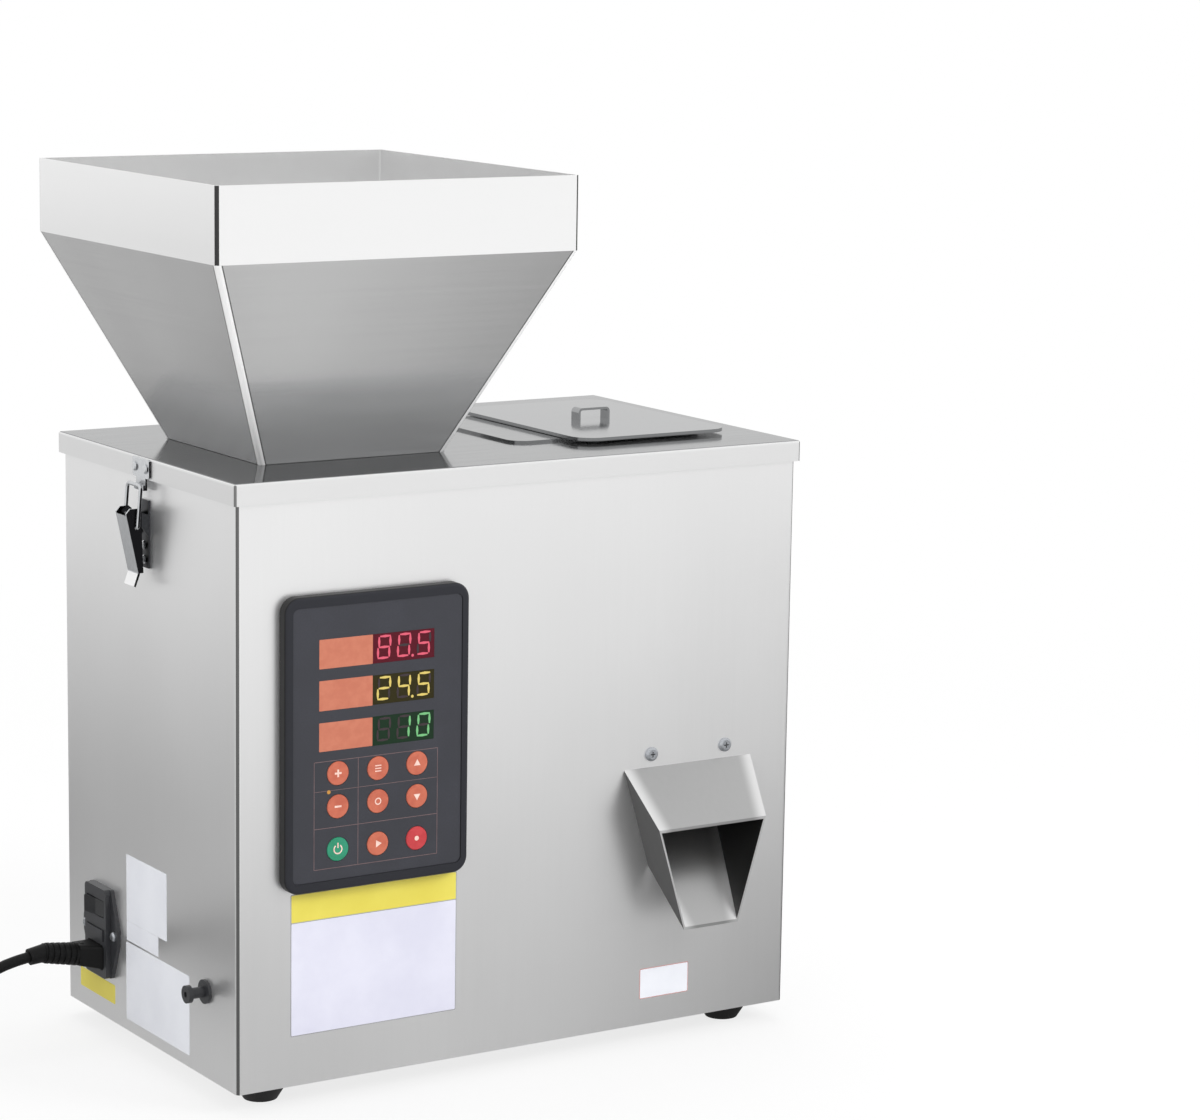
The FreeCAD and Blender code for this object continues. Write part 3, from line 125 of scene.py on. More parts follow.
class Finish:
    """A material with one Principled shader, whose plain values are given by the sockets' names."""

    def __init__(self, name, **plain):
        self.material = bpy.data.materials.new(name)
        self.material.use_nodes = True
        self.nodes = self.material.node_tree.nodes
        self.links = self.material.node_tree.links
        self.shader = next(n for n in self.nodes if n.type == "BSDF_PRINCIPLED")
        for socket, value in plain.items():
            self.give(socket.replace("_", " "), value)

    def plug(self, socket, value):
        if isinstance(value, Tap):
            self.links.new(value.socket, socket)
        else:
            socket.default_value = value

    def give(self, name, value):
        if name == "Base Color":
            self.base = value
        self.plug(self.shader.inputs[name], value)

    def paint(self, share, colour):
        """Lays a colour over the present base colour, by a share between 0 and 1."""
        self.give("Base Color", self.mix(share, self.base, colour))

    def node(self, kind, settings=None, sockets=None, out=0):
        made = self.nodes.new(kind)
        for name, value in (settings or {}).items():
            setattr(made, name, value)
        for name, value in (sockets or {}).items():
            self.plug(made.inputs[name], value)
        return Tap(self, made.outputs[out])

    def maths(self, operation, first, second=0.0):
        return self.node("ShaderNodeMath", {"operation": operation}, {0: first, 1: second})

    def place(self, part="XYZ"):
        """The point's place in the frame, in metres, or one of its three numbers."""
        point = self.node("ShaderNodeTexCoord", out="Object")
        if part == "XYZ":
            return point
        return self.node("ShaderNodeSeparateXYZ", {}, {0: point}, part)

    def noise(self, stretch, detail=3.0, roughness=0.55):
        """Cloudy noise whose waves per metre are given along X, Y and Z."""
        squeezed = self.node("ShaderNodeMapping", {}, {"Vector": self.place(), "Scale": stretch})
        sockets = {"Vector": squeezed, "Scale": 1.0, "Detail": detail, "Roughness": roughness}
        return self.node("ShaderNodeTexNoise", {}, sockets)

    def ease(self, value, low, high, start=0.0, end=1.0):
        """A smooth step of a value, from start below low to end above high."""
        sockets = {"Value": value, "From Min": low, "From Max": high, "To Min": start, "To Max": end}
        return self.node("ShaderNodeMapRange", {"interpolation_type": "SMOOTHSTEP"}, sockets)

    def mix(self, share, first, second):
        """Two colours mixed by a share between 0 and 1. The node's colour sockets are 6, 7 and out 2."""
        first, second = [tone(c) if isinstance(c, str) else c for c in (first, second)]
        return self.node("ShaderNodeMix", {"data_type": "RGBA"}, {0: share, 6: first, 7: second}, 2)

    def bump(self, height, strength, depth):
        """Relief from a height between 0 and 1 and its real depth in metres."""
        sockets = {"Strength": strength, "Distance": depth, "Height": height}
        self.give("Normal", self.node("ShaderNodeBump", {}, sockets))


# %% [markdown]
# ## The mains lead
#
# A lead is a fixed length of something soft. A NURBS curve with a round bevel is the right tool: its
# control points pull the curve without kinks. The first points lead out of the connector and down to
# the bench. The rest of the 1.5 m is wound up beside the machine, two turns side by side and three
# high, and a loop rises over the coil into the plug.

# %% The lead's line
lead_radius = 0.0035
lead_run = [(-252, 79.1, 59.6), (-270, 79.3, 57.2), (-287, 80.2, 47.5), (-302, 81.8, 32.5),
            (-319, 83.9, 19.5), (-337, 86.2, 9.0), (-356, 87.7, 4.4), (-374, 88.0, 3.5)]
coil_middle = Vector((-374, 130.0, 0))
outer_turn, inner_turn, layer = 42.0, 35.0, 7.0
steps_per_turn = 24
# Each turn: its radius, its layer, and from where to where in it the lead moves to the next turn.
turns = [(outer_turn, 0, 305, 345), (inner_turn, 0, 260, 300), (inner_turn, 1, 215, 255),
         (outer_turn, 1, 170, 210), (outer_turn, 2, 125, 165), (inner_turn, 2, 400, 440)]
lead_points = [Vector(point) for point in lead_run]


def eased(share):
    """A share between 0 and 1 that starts and ends gently."""
    return share * share * (3 - 2 * share)


for index, (radius, storey, leave, arrive) in enumerate(turns):
    following = turns[min(index + 1, len(turns) - 1)]
    steps = steps_per_turn if index < len(turns) - 1 else 4
    for step in range(1, steps + 1):
        degrees = step * 360 / steps_per_turn
        moved = eased(min(max((degrees - leave) / (arrive - leave), 0), 1))
        reach = radius + (following[0] - radius) * moved
        angle = math.radians(270 - degrees)
        height = lead_radius * 1000 + layer * (storey + (following[1] - storey) * moved)
        sideways = Vector((reach * math.cos(angle), reach * math.sin(angle), height))
        lead_points.append(coil_middle + sideways)

# %% [markdown]
# The last loop leaves the inner turn on a circle of its own that touches it, so the curve has no
# corner, and climbs from the top layer to the height of the plug.

# %% The last loop and the curve
loop_radius = 25.4
loop_middle = coil_middle + Vector((-9.0, -3.4, 0))
loop_start, loop_end = 200.7, 90.0
loop_steps = 9
loop_low, loop_rise = 17.5, 14.5
into_plug = Vector((6, 0, 0))
for step in range(1, loop_steps + 1):
    share = step / loop_steps
    angle = math.radians(loop_start + (loop_end - loop_start) * share)
    sideways = Vector((math.cos(angle), math.sin(angle), 0)) * loop_radius
    lead_points.append(loop_middle + sideways + Vector((0, 0, loop_low + loop_rise * eased(share))))
lead_points.append(lead_points[-1] + into_plug)
lead_data = bpy.data.curves.new("mains_lead", "CURVE")
lead_data.dimensions = "3D"
lead_line = lead_data.splines.new("NURBS")
lead_line.points.add(len(lead_points) - 1)
for control, point in zip(lead_line.points, lead_points):
    control.co = (*(point / 1000), 1.0)
    control.radius = lead_radius
lead_line.order_u = 3
lead_line.use_endpoint_u = True
lead_line.resolution_u = 4
lead_data.bevel_depth = 1.0
lead_data.bevel_resolution = 5
lead_data.use_fill_caps = True
lead = bpy.data.objects.new("mains_lead", lead_data)
scene.collection.objects.link(lead)
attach(lead, "case")
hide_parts("cord_tube", "cord_coil")
print("lead control points", len(lead_points))

# %% [markdown]
# ## Tools for the small pieces
#
# Print, labels and digits are flat shapes with a little thickness. Each starts as a flat outline in
# its own plane, X to the right and Y up, is given its thickness, and is then carried to its place. A
# piece's place ends up in its mesh, and its object stays at the origin.

# %% From a flat outline to a placed piece
def facing_front(x, y, z):
    """A plane on the machine's front, seen from the front: right is +X and up is +Z."""
    return Matrix(((1, 0, 0, x / 1000), (0, 0, -1, y / 1000), (0, 1, 0, z / 1000), (0, 0, 0, 1)))


def facing_left(x, y, z):
    """A plane on the machine's left side, seen from that side: right is -Y and up is +Z."""
    return Matrix(((0, 0, -1, x / 1000), (-1, 0, 0, y / 1000), (0, 1, 0, z / 1000), (0, 0, 0, 1)))


def turned_to(x, y, turn):
    """A place in a flat outline's own plane, in millimetres, and a turn in degrees."""
    return Matrix.Translation((x / 1000, y / 1000, 0)) @ Matrix.Rotation(math.radians(turn), 4, "Z")


def thicken(mesh, depth):
    """Gives flat outlines a thickness towards the viewer of their plane."""
    risen = bmesh.ops.extrude_face_region(mesh, geom=mesh.faces[:])["geom"]
    points = [item for item in risen if isinstance(item, bmesh.types.BMVert)]
    bmesh.ops.translate(mesh, verts=points, vec=(0, 0, depth / 1000))
    bmesh.ops.recalc_face_normals(mesh, faces=mesh.faces[:])


def settle(name, mesh, place, body, finish):
    """Turns a bmesh into a piece of the machine that rides on a body."""
    bmesh.ops.transform(mesh, matrix=place, verts=mesh.verts[:])
    data = bpy.data.meshes.new(name)
    mesh.to_mesh(data)
    mesh.free()
    piece = bpy.data.objects.new(name, data)
    scene.collection.objects.link(piece)
    data.materials.append(finish.material)
    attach(piece, body)


# %% [markdown]
# Two outlines cover most of the print: a rounded plate, and a ring or part of one. The plate is one
# grid face whose corners are bevelled; the ring is a short edge spun about the middle.

# %% Outlines
def plate(mesh, x, y, width, height, radius=0.0):
    """A flat rectangle with rounded corners, in millimetres."""
    made = bmesh.ops.create_grid(mesh, x_segments=1, y_segments=1, size=0.0005)["verts"]
    sized = turned_to(x, y, 0.0) @ Matrix.Diagonal((width, height, 1, 1))
    bmesh.ops.transform(mesh, matrix=sized, verts=made)
    if radius:
        bmesh.ops.bevel(mesh, geom=made, offset=radius / 1000, offset_type="OFFSET", segments=5,
                        profile=0.5, affect="VERTICES", material=-1, clamp_overlap=True)


def ring(mesh, x, y, inner, outer, start=0.0, sweep=360.0):
    """A flat ring, or part of one, in millimetres and degrees."""
    middle = Vector((x / 1000, y / 1000, 0))
    ray = Vector((math.cos(math.radians(start)), math.sin(math.radians(start)), 0))
    near = mesh.verts.new(middle + ray * (inner / 1000))
    far = mesh.verts.new(middle + ray * (outer / 1000))
    edge = mesh.edges.new((near, far))
    bmesh.ops.spin(mesh, geom=[near, far, edge], cent=middle, axis=(0, 0, 1),
                   angle=math.radians(sweep), steps=max(6, int(sweep / 12)),
                   use_merge=sweep == 360, use_duplicate=False)


def disc(mesh, x, y, radius, sides=24, turn=0.0):
    """A flat filled circle, or a triangle with three sides."""
    bmesh.ops.create_circle(mesh, cap_ends=True, segments=sides, radius=radius / 1000,
                            matrix=turned_to(x, y, turn))


# %% [markdown]
# ## Stainless steel
#
# The whole machine is sheet stainless steel, and its finish changes from piece to piece: satin on the
# case, a brushed grain on the hopper and a polished top on the lid. Grain is noise that is stretched
# along one axis. It changes the roughness and lifts a very shallow relief, and a slower noise gives
# the sheet the uneven tone that rolled steel has.

# %% Sheet steel
steel_metallic = 0.9


def press_lines(steel, grain, depth):
    """Presses fine lines into a sheet, and gives back the noise that they follow."""
    lines = steel.noise(grain, 4.0, 0.6)
    steel.bump(lines, 0.2, depth)
    return lines


def sheet_steel(name, light, dark, roughness, grain, depth=0.00004):
    """A sheet whose tone and roughness drift slowly and change with its grain."""
    steel = Finish(name, Metallic=steel_metallic)
    lines = press_lines(steel, grain, depth)
    clouds = steel.noise((5.0, 5.0, 4.0), 2.0)
    drift = steel.ease(clouds * 0.85 + lines * 0.15, 0.3, 0.7)
    steel.give("Base Color", steel.mix(drift, dark, light))
    steel.give("Roughness", roughness + 0.07 * (lines - 0.5) + 0.05 * (clouds - 0.5))
    return steel


fine_grain, faint_grain = 0.00002, 0.000004
satin_steel = sheet_steel("satin_steel", "f5f5f5", "efefef", 0.33, (500.0, 500.0, 14.0), fine_grain)
brushed_steel = sheet_steel("brushed_steel", "f2f2f2", "e2e2e2", 0.2, (2.5, 2.5, 380.0), faint_grain)
inner_steel = sheet_steel("inner_steel", "c6c6c6", "b4b4b4", 0.42, (7.0, 300.0, 300.0))
# The chute's tone is painted darker than the case's, as painted shade in the chute's hollow.
chute_steel = sheet_steel("chute_steel", "b2b2b2", "a8a8a8", 0.3, (260.0, 260.0, 12.0), faint_grain)

# %% [markdown]
# The case is folded at its four corners, and each fold is painted dark, a painted reflection of darker
# surroundings in the bend. The sum of a point's distances from the middle in X and in Y is largest on
# the fold, so one comparison finds it.

# %% Painted dark reflection on the folds of the case
case_middle_y = 0.01385
case_fold_sum = 0.31872


def distance_from(finish, part, middle):
    """How far a point is from a middle along X or Y, in metres."""
    return finish.maths("ABSOLUTE", finish.place(part) - middle)


def fold_reach(finish, middle_x, middle_y):
    """How far out a point is, counted along X and along Y from the middle."""
    return distance_from(finish, "X", middle_x) + distance_from(finish, "Y", middle_y)


# A painted dark reflection along the case's folds.
case_fold_reflection = fold_reach(satin_steel, 0.0, case_middle_y) > case_fold_sum
satin_steel.paint(case_fold_reflection * 0.9, "4c4c4c")

# %% [markdown]
# The hopper's band is painted brighter than its brushed taper, a painted sheen, and the taper's foot
# is painted darker near the lid, a painted reflection of the lid. Its corners are an open seam on the
# band, and on the taper a rounded bend with a painted highlight and a thin painted shade beside it. The
# taper's half width grows evenly with height, so the bend is found by taking that half width away from
# the same sum.

# %% Band, seams, painted highlights and painted shade of the hopper
hopper_x, hopper_foot_z = -0.091, 0.3845
taper_height, taper_slope, throat_half = 0.1277, 0.462, 0.064
seam_width, bend_highlight_width, bend_shade_width = 0.00205, 0.0034, 0.0043
height_up = brushed_steel.place("Z") - hopper_foot_z
on_band = height_up > taper_height
on_taper = 1 - on_band
taper_half = brushed_steel.maths("MINIMUM", height_up, taper_height) * taper_slope + throat_half
to_corner = fold_reach(brushed_steel, hopper_x, case_middle_y) - taper_half * 2
seam = (to_corner > -seam_width) * on_band
bend_highlight = (to_corner > -bend_highlight_width) * on_taper
bend_shade = (to_corner > -bend_shade_width) * on_taper - bend_highlight
# A painted dark reflection of the lid on the taper's foot, and a painted sheen on the band.
lid_reflection_shade = brushed_steel.ease(height_up, 0.012, 0.052, 0.75, 0.0)
brushed_steel.paint(lid_reflection_shade, "c2c2c2")
brushed_steel.paint(on_band, "f3f3f3")
# A painted highlight on the taper's bends, made less metallic so that it shows white, with painted shade
# beside it.
brushed_steel.paint(bend_highlight, "fbfbfb")
brushed_steel.paint(bend_shade * 0.7, "3a3a3a")
brushed_steel.paint(seam * 0.95, "161616")
brushed_steel.give("Metallic", steel_metallic - 0.75 * bend_highlight)

# %% [markdown]
# The chute is folded too: its roof has a painted highlight along the two folds, and its side plates
# are painted dark as shade. A side plate is told by its normal, and a fold by how near a point of the
# roof is to the chute's half width, which grows with height and shrinks towards the case.

# %% Painted fold highlights and painted side plate shade of the chute
def facing(finish, part):
    """How far a face looks along X, Y or Z, from 0 to 1."""
    normal = finish.node("ShaderNodeNewGeometry", out="True Normal")
    return finish.maths("ABSOLUTE", finish.node("ShaderNodeSeparateXYZ", {}, {0: normal}, part))


chute_x, lip_y, lip_z = 0.1215, -0.1369, 0.0814
lip_half, wider_upwards, narrower_inwards = 0.0206, 0.301, 0.0795
above_lip = chute_steel.place("Z") - lip_z
behind_lip = chute_steel.place("Y") - lip_y
chute_half = above_lip * wider_upwards - behind_lip * narrower_inwards + lip_half
to_fold = chute_half - distance_from(chute_steel, "X", chute_x)
fold_highlight = 1 - chute_steel.ease(to_fold, 0.001, 0.011)
side_plate_shade = chute_steel.ease(facing(chute_steel, "X"), 0.6, 0.8)
# A painted highlight along the roof's folds, and painted shade on the side plates.
chute_steel.paint(fold_highlight * 0.8, "ececec")
chute_steel.paint(side_plate_shade * 0.9, "404040")

# %% [markdown]
# The lid is one folded sheet, but its top is polished and its turned-down edge is satin. The height
# of a point tells them apart, because the top and the cover on it are the only faces above that
# level. The folds of the edge are painted dark, a painted reflection as on the case.

# %% The lid's steel
lid_fold_sum = 0.32402
top_from_z, cover_from_z = 0.3842, 0.3868
lid_steel = Finish("lid_steel", Metallic=steel_metallic, Specular_Tint=(0.8, 0.8, 0.8, 1.0))
press_lines(lid_steel, (11.0, 900.0, 900.0), 0.00004)
lid_lines = lid_steel.noise((14.0, 420.0, 420.0), 3.0)
lid_top = lid_steel.place("Z") > top_from_z
on_cover = lid_steel.place("Z") > cover_from_z
# A painted dark reflection on the folds of the lid's edge.
lid_fold_reflection = (fold_reach(lid_steel, 0.0, case_middle_y) > lid_fold_sum) * (1 - lid_top)
top_tone = lid_steel.mix(lid_steel.ease(lid_lines, 0.3, 0.7), "8d8e8f", "9a9b9c")
top_tone = lid_steel.mix(on_cover, top_tone, "a4a5a6")
lid_steel.give("Base Color", lid_steel.mix(lid_top, "ececec", top_tone))
lid_steel.paint(lid_fold_reflection * 0.8, "4a4a4a")
lid_steel.give("Roughness", 0.34 + 0.06 * (lid_lines - 0.5) - 0.23 * lid_top)

# %% [markdown]
# The draw latches are plated and mirror smooth. Small scratches dull them where they are handled,
# their flanks are painted dark, a painted reflection of dark surroundings, their strap is less of a
# mirror, and the lever's tip has a painted highlight. Their bases are painted near black as the shade
# behind the levers. Zinc on screws is greyer and a little grained.

# %% Plated metal
lever_tip_z = 0.3135
chrome = Finish("chrome")
handled = chrome.noise((900.0, 900.0, 200.0), 4.0)
# The flanks get a painted dark reflection, and the lever's tip a painted highlight.
flank_reflection = chrome.ease(facing(chrome, "Y"), 0.8, 0.9)
strap = chrome.ease(facing(chrome, "X"), 0.8, 0.9)
lever_tip_highlight = (chrome.place("Z") < lever_tip_z) * (1 - flank_reflection)
chrome.give("Roughness", 0.06 + 0.12 * chrome.ease(handled, 0.5, 0.75))
chrome.give("Metallic", 1 - 0.5 * strap - 0.45 * lever_tip_highlight)
chrome.give("Base Color", chrome.mix(handled, "dcdee0", "b4b6b9"))
chrome.paint(flank_reflection, "1c1c1e")
chrome.paint(lever_tip_highlight, "fafafa")
# The latch bases are painted near black, as the shade behind the levers.
shade_plating = Finish("shade_plating", Roughness=0.3, Metallic=1.0)
plating_mottle = shade_plating.noise((600.0, 600.0, 600.0))
shade_plating.give("Base Color", shade_plating.mix(plating_mottle, "2c2d2f", "4a4b4e"))
zinc = Finish("zinc", Metallic=1.0)
crystals = zinc.node("ShaderNodeTexVoronoi", {}, {"Vector": zinc.place(), "Scale": 900.0})
zinc.give("Base Color", zinc.mix(crystals, "a9adb3", "c6c9cd"))
zinc.give("Roughness", 0.24 + 0.16 * crystals)
spring_metal = Finish("spring_metal", Metallic=1.0)
heat = spring_metal.noise((30.0, 30.0, 30.0), 3.0)
spring_metal.give("Base Color", spring_metal.mix(heat, "7c858f", "a0a5aa"))
spring_metal.give("Roughness", 0.22 + 0.15 * heat)

# %% [markdown]
# ## Plastics and rubber
#
# Moulded black plastic is never quite black: it has a fine texture that scatters light, and corners
# that catch it. The panel's frame is a slate grey moulding of one even tone, with painted shade on its
# sides, and its face is a matt printed film.

# %% Moulded black and slate
def moulded(name, colour, paler, roughness, bumps, depth, **plain):
    """A moulded surface with pores, worn a little paler in soft patches."""
    plastic = Finish(name, **plain)
    pores = plastic.noise((bumps, bumps, bumps), 2.0)
    worn = plastic.noise((40.0, 40.0, 40.0), 3.0)
    wear = plastic.ease(worn * 0.6 + pores * 0.4, 0.4, 0.75)
    plastic.give("Base Color", plastic.mix(wear, colour, paler))
    plastic.give("Roughness", roughness + 0.14 * (worn - 0.5))
    plastic.bump(pores, 0.3, depth)
    return plastic


slate_moulding = moulded("slate_moulding", "27282e", "27282e", 0.42, 900.0, 0.00003,
                         Specular_IOR_Level=0.3)
# Painted shade on the frame's side walls.
side_wall_shade = 1 - slate_moulding.ease(facing(slate_moulding, "Y"), 0.3, 0.7)
slate_moulding.paint(side_wall_shade, "08080a")
slate_film = moulded("slate_film", "33343b", "393a42", 0.5, 900.0, 0.00001)
black_moulding = moulded("black_moulding", "303134", "3b3c3f", 0.4, 1400.0, 0.00005)
rocker_gloss = moulded("rocker_gloss", "1a1b1d", "232427", 0.25, 600.0, 0.00002)
foot_rubber = moulded("foot_rubber", "0d0d0e", "1b1b1c", 0.62, 900.0, 0.00012)
cord_jacket = moulded("cord_jacket", "080808", "101011", 0.5, 1800.0, 0.00004,
                      Specular_IOR_Level=0.25)

# %% [markdown]
# The three displays are one piece of glass, tinted by a painted glow of their digits: reddish in the
# top row, yellowish in the middle one and greenish in the lowest.

# %% Display glass
top_row_from_z, low_row_to_z = 0.2665, 0.2415
display_glass = moulded("display_glass", "2e290a", "2e290a", 0.4, 200.0, 0.00001,
                        Specular_IOR_Level=0.2)
# The painted glow of each row's digits.
display_glass.paint(display_glass.place("Z") > top_row_from_z, "560d1e")
display_glass.paint(display_glass.place("Z") < low_row_to_z, "16301d")

# %% [markdown]
# The keys are coloured caps under the film, with a soft cloudy tone between two near colours. Their
# print is a thin pale ink.

# %% Keys, print and paper
def key_finish(name, dark, light):
    """A softly clouded cap or ink under a thin clear film."""
    cap = Finish(name, Coat_Weight=0.25)
    soft = cap.noise((160.0, 160.0, 160.0), 2.0)
    cap.give("Base Color", cap.mix(cap.ease(soft, 0.3, 0.7), dark, light))
    cap.give("Roughness", 0.4 + 0.1 * (soft - 0.5))
    return cap


key_orange = key_finish("key_orange", "c05e45", "cc6c50")
key_green = key_finish("key_green", "178a64", "239471")
key_red = key_finish("key_red", "bf2f35", "c93a40")
orange_ink = key_finish("orange_ink", "c46f54", "cb785c")
pale_ink = key_finish("pale_ink", "f0c9bb", "f8dccf")
line_ink = key_finish("line_ink", "70585a", "7d6566")


def paper(name, light, dark):
    """Label paper with fibres, and a slow wave where it isn't pressed down evenly."""
    sheet = Finish(name)
    fibres = sheet.noise((120.0, 120.0, 120.0), 3.0)
    waves = sheet.noise((25.0, 25.0, 18.0), 1.0)
    uneven = sheet.ease(fibres * 0.2 + waves * 0.8, 0.3, 0.7)
    sheet.give("Base Color", sheet.mix(uneven, dark, light))
    sheet.give("Roughness", 0.34 + 0.12 * waves)
    sheet.bump(waves, 0.15, 0.0003)
    return sheet


label_white = paper("label_white", "e6e6f4", "dcdcec")
label_pale = paper("label_pale", "f2f4fa", "eaecf3")
label_yellow = paper("label_yellow", "ecdf5e", "e4d552")
label_grey = paper("label_grey", "a8a8ac", "98989c")
label_pink = paper("label_pink", "cf9a98", "c48c8a")

# %% [markdown]
# ## Dressing the measured nodes
#
# A node's shape is right already, so it only needs its material. The finishes inside the case differ
# from those outside: green laminate, black lacquered iron, plain aluminium.

# %% Finishes inside the case
board_green = Finish("board_green", Roughness=0.4)
brick = {"Vector": board_green.place(), "Scale": 60.0}
traces = board_green.node("ShaderNodeTexBrick", {}, brick, 1)
board_green.give("Base Color", board_green.mix(traces * 0.5, "1a5230", "2c7a49"))
black_iron = moulded("black_iron", "222326", "34363a", 0.55, 500.0, 0.0001, Specular_IOR_Level=0.6)
cast_block = moulded("cast_block", "4a4d52", "5d6066", 0.6, 350.0, 0.0003)
bare_aluminium = sheet_steel("bare_aluminium", "c9ccd0", "b9bcc1", 0.35, (8.0, 400.0, 400.0))
fuse_glass = moulded("fuse_glass", "9aa3a8", "aab3b8", 0.15, 300.0, 0.00001)

# %% Give every node its finish
dress = {
    satin_steel: ["case_wrap", "rear_panel"],
    brushed_steel: ["hopper"],
    lid_steel: ["lid", "inspection_cover", "cover_seat", "cover_handle"],
    chute_steel: ["discharge_chute"],
    inner_steel: ["base_plate", "feeder_deck", "feed_trough", "trough_carrier", "weigh_bucket",
                  "bucket_flap", "flow_gate", "motor_bracket", "load_cell_post", "flap_crank"],
    zinc: ["case_screws", "inlet_screws", "foot_screws", "flap_pin"],
    shade_plating: ["latch_bases"],
    chrome: ["latch_rivets", "latch_hooks", "latch_lever_left", "latch_lever_right",
             "latch_loop_left", "latch_loop_right"],
    spring_metal: ["leaf_springs"],
    cast_block: ["feeder_base", "feeder_armature"],
    black_iron: ["feeder_magnet", "flap_motor"],
    bare_aluminium: ["load_cell"],
    board_green: ["control_board", "power_board"],
    slate_moulding: ["panel_bezel"],
    slate_film: ["control_face"],
    display_glass: ["display_modules"],
    key_orange: ["key_plus", "key_mode", "key_up", "key_minus", "key_clear", "key_down", "key_feed"],
    key_green: ["key_power"],
    key_red: ["key_stop"],
    black_moulding: ["power_inlet", "fuse_drawer", "pedal_socket"],
    rocker_gloss: ["rocker_switch"],
    fuse_glass: ["fuse"],
    foot_rubber: ["rubber_feet", "feeder_dampers"],
    cord_jacket: ["mains_connector", "mains_plug"],
}
for finish, names in dress.items():
    for name in names:
        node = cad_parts[name]
        node.data.materials.clear()
        node.data.materials.append(finish.material)
lead_data.materials.append(cord_jacket.material)
bare = sorted(set(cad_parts) - {name for names in dress.values() for name in names})
print("nodes with no finish of their own", bare)

# %% [markdown]
# ## The lit digits
#
# Each display shows three seven-bar digits that lean a little. A bar is a circle of six sides pulled
# apart in the middle, which gives it the pointed ends of the real thing. Bars that are off are made
# too, because the dark glass never hides them fully.

# %% One bar, one digit
bars_of = {"0": "abcdef", "1": "bc", "2": "abged", "4": "fgbc", "5": "afgcd", "8": "abcdefg", " ": ""}
bar_wide, bar_tall, bar_thick, lean = 7.3, 5.9, 1.4, 0.12
first_x, row_y, digit_pitch = -13.4, 0.6, 13.7
pointed_ends = 0.577  # a hexagon's corner is this much of its width from its middle
bar_places = {"a": (0, 1, 0), "b": (0.5, 0.5, 90), "c": (0.5, -0.5, 90), "d": (0, -1, 0),
              "e": (-0.5, -0.5, 90), "f": (-0.5, 0.5, 90), "g": (0, 0, 0)}


def bar(mesh, x, y, turn, length):
    """One bar of a digit, drawn flat along X and then turned to its place."""
    made = bmesh.ops.create_circle(mesh, cap_ends=True, segments=6,
                                   radius=bar_thick * pointed_ends / 1000)["verts"]
    for side in (-1, 1):
        end = [v for v in made if v.co.x * side > 0]
        bmesh.ops.translate(mesh, verts=end, vec=(side * (length - bar_thick) / 2000, 0, 0))
    bmesh.ops.transform(mesh, matrix=turned_to(x, y, turn), verts=made)


def digits(mesh, text, lit):
    """The bars of a row of digits that are on, or the bars that are off."""
    for index, letter in enumerate(text):
        for name, (right, up, turn) in bar_places.items():
            if (name in bars_of[letter]) == lit:
                cy = up * (bar_tall + 0.7)
                cx = first_x + index * digit_pitch + right * (bar_wide + 0.4) + lean * cy
                bar(mesh, cx, row_y + cy, turn, bar_tall if turn else bar_wide)


# %% [markdown]
# Lit bars glow: their own colour is dark, and the light comes from the emission. Its strength stays
# near 1, which shows the colour about as it is written. Every lit thing shines evenly.

# %% Three displays
def glow(name, colour):
    """A dark surface that shines in one colour."""
    return Finish(name, Base_Color=tone("241418"), Roughness=0.5,
                  Emission_Color=tone(colour), Emission_Strength=0.8)


unlit_bar = moulded("unlit_bar", "33262b", "3a2c31", 0.4, 900.0, 0.00001)
face_y, display_x = -114.4, -91.7
point_x, point_y, point_radius = 6.2, -6.4, 0.9
shows = [("red", "ff6680", "805", 279.4, True), ("yellow", "fbe277", "245", 254.2, True),
         ("green", "7fd68c", " 10", 229.0, False)]
for name, colour, text, z, pointed in shows:
    for lit in (True, False):
        mesh = bmesh.new()
        digits(mesh, text, lit)
        if pointed and lit:
            disc(mesh, point_x, point_y, point_radius, 12)
        thicken(mesh, 0.08)
        finish = glow("glow_" + name, colour) if lit else unlit_bar
        state = "lit" if lit else "unlit"
        place = facing_front(display_x, face_y, z)
        settle(f"digits_{name}_{state}", mesh, place, "case", finish)
mesh = bmesh.new()
disc(mesh, 0, 0, 1.2, 16)
thicken(mesh, 0.1)
lamp_place = facing_front(-142.5, face_y, 195.0)
settle("unit_lamp", mesh, lamp_place, "case", glow("glow_amber", "e0a040"))
print("digits made", [show[2] for show in shows])

# %% [markdown]
# ## Print on the panel
#
# Beside each display is an orange field, and the keys sit in a thin printed frame. The fields stay
# plain. Each key has a simple sign that belongs to its use: plus and minus, arrows, the power sign.

# %% Fields and frame lines
mesh = bmesh.new()
for low, high in ((270.5, 288.3), (245.0, 263.3), (220.2, 237.7)):
    plate(mesh, -131.0, (low + high) / 2, 36.2, high - low, 0.4)
thicken(mesh, 0.06)
settle("panel_fields", mesh, facing_front(0, face_y, 0), "case", orange_ink)
mesh = bmesh.new()
for z, thick in ((214.0, 0.35), (148.0, 0.35), (195.8, 0.3), (173.0, 0.35)):
    plate(mesh, -110.0, z, 85.2, thick)
for x in (-152.4, -67.6, -122.5):
    plate(mesh, x, 181.0, 0.35, 66.0)
thicken(mesh, 0.04)
settle("panel_lines", mesh, facing_front(0, face_y, 0), "case", line_ink)

# %% Key signs
key_spots = {"key_plus": (-136.4, 206.0), "key_mode": (-109.0, 206.0), "key_up": (-82.0, 206.0),
             "key_minus": (-136.4, 185.6), "key_clear": (-109.0, 185.6), "key_down": (-82.0, 185.6),
             "key_power": (-136.4, 159.3), "key_feed": (-109.0, 159.3), "key_stop": (-82.0, 159.3)}
key_y = -114.9


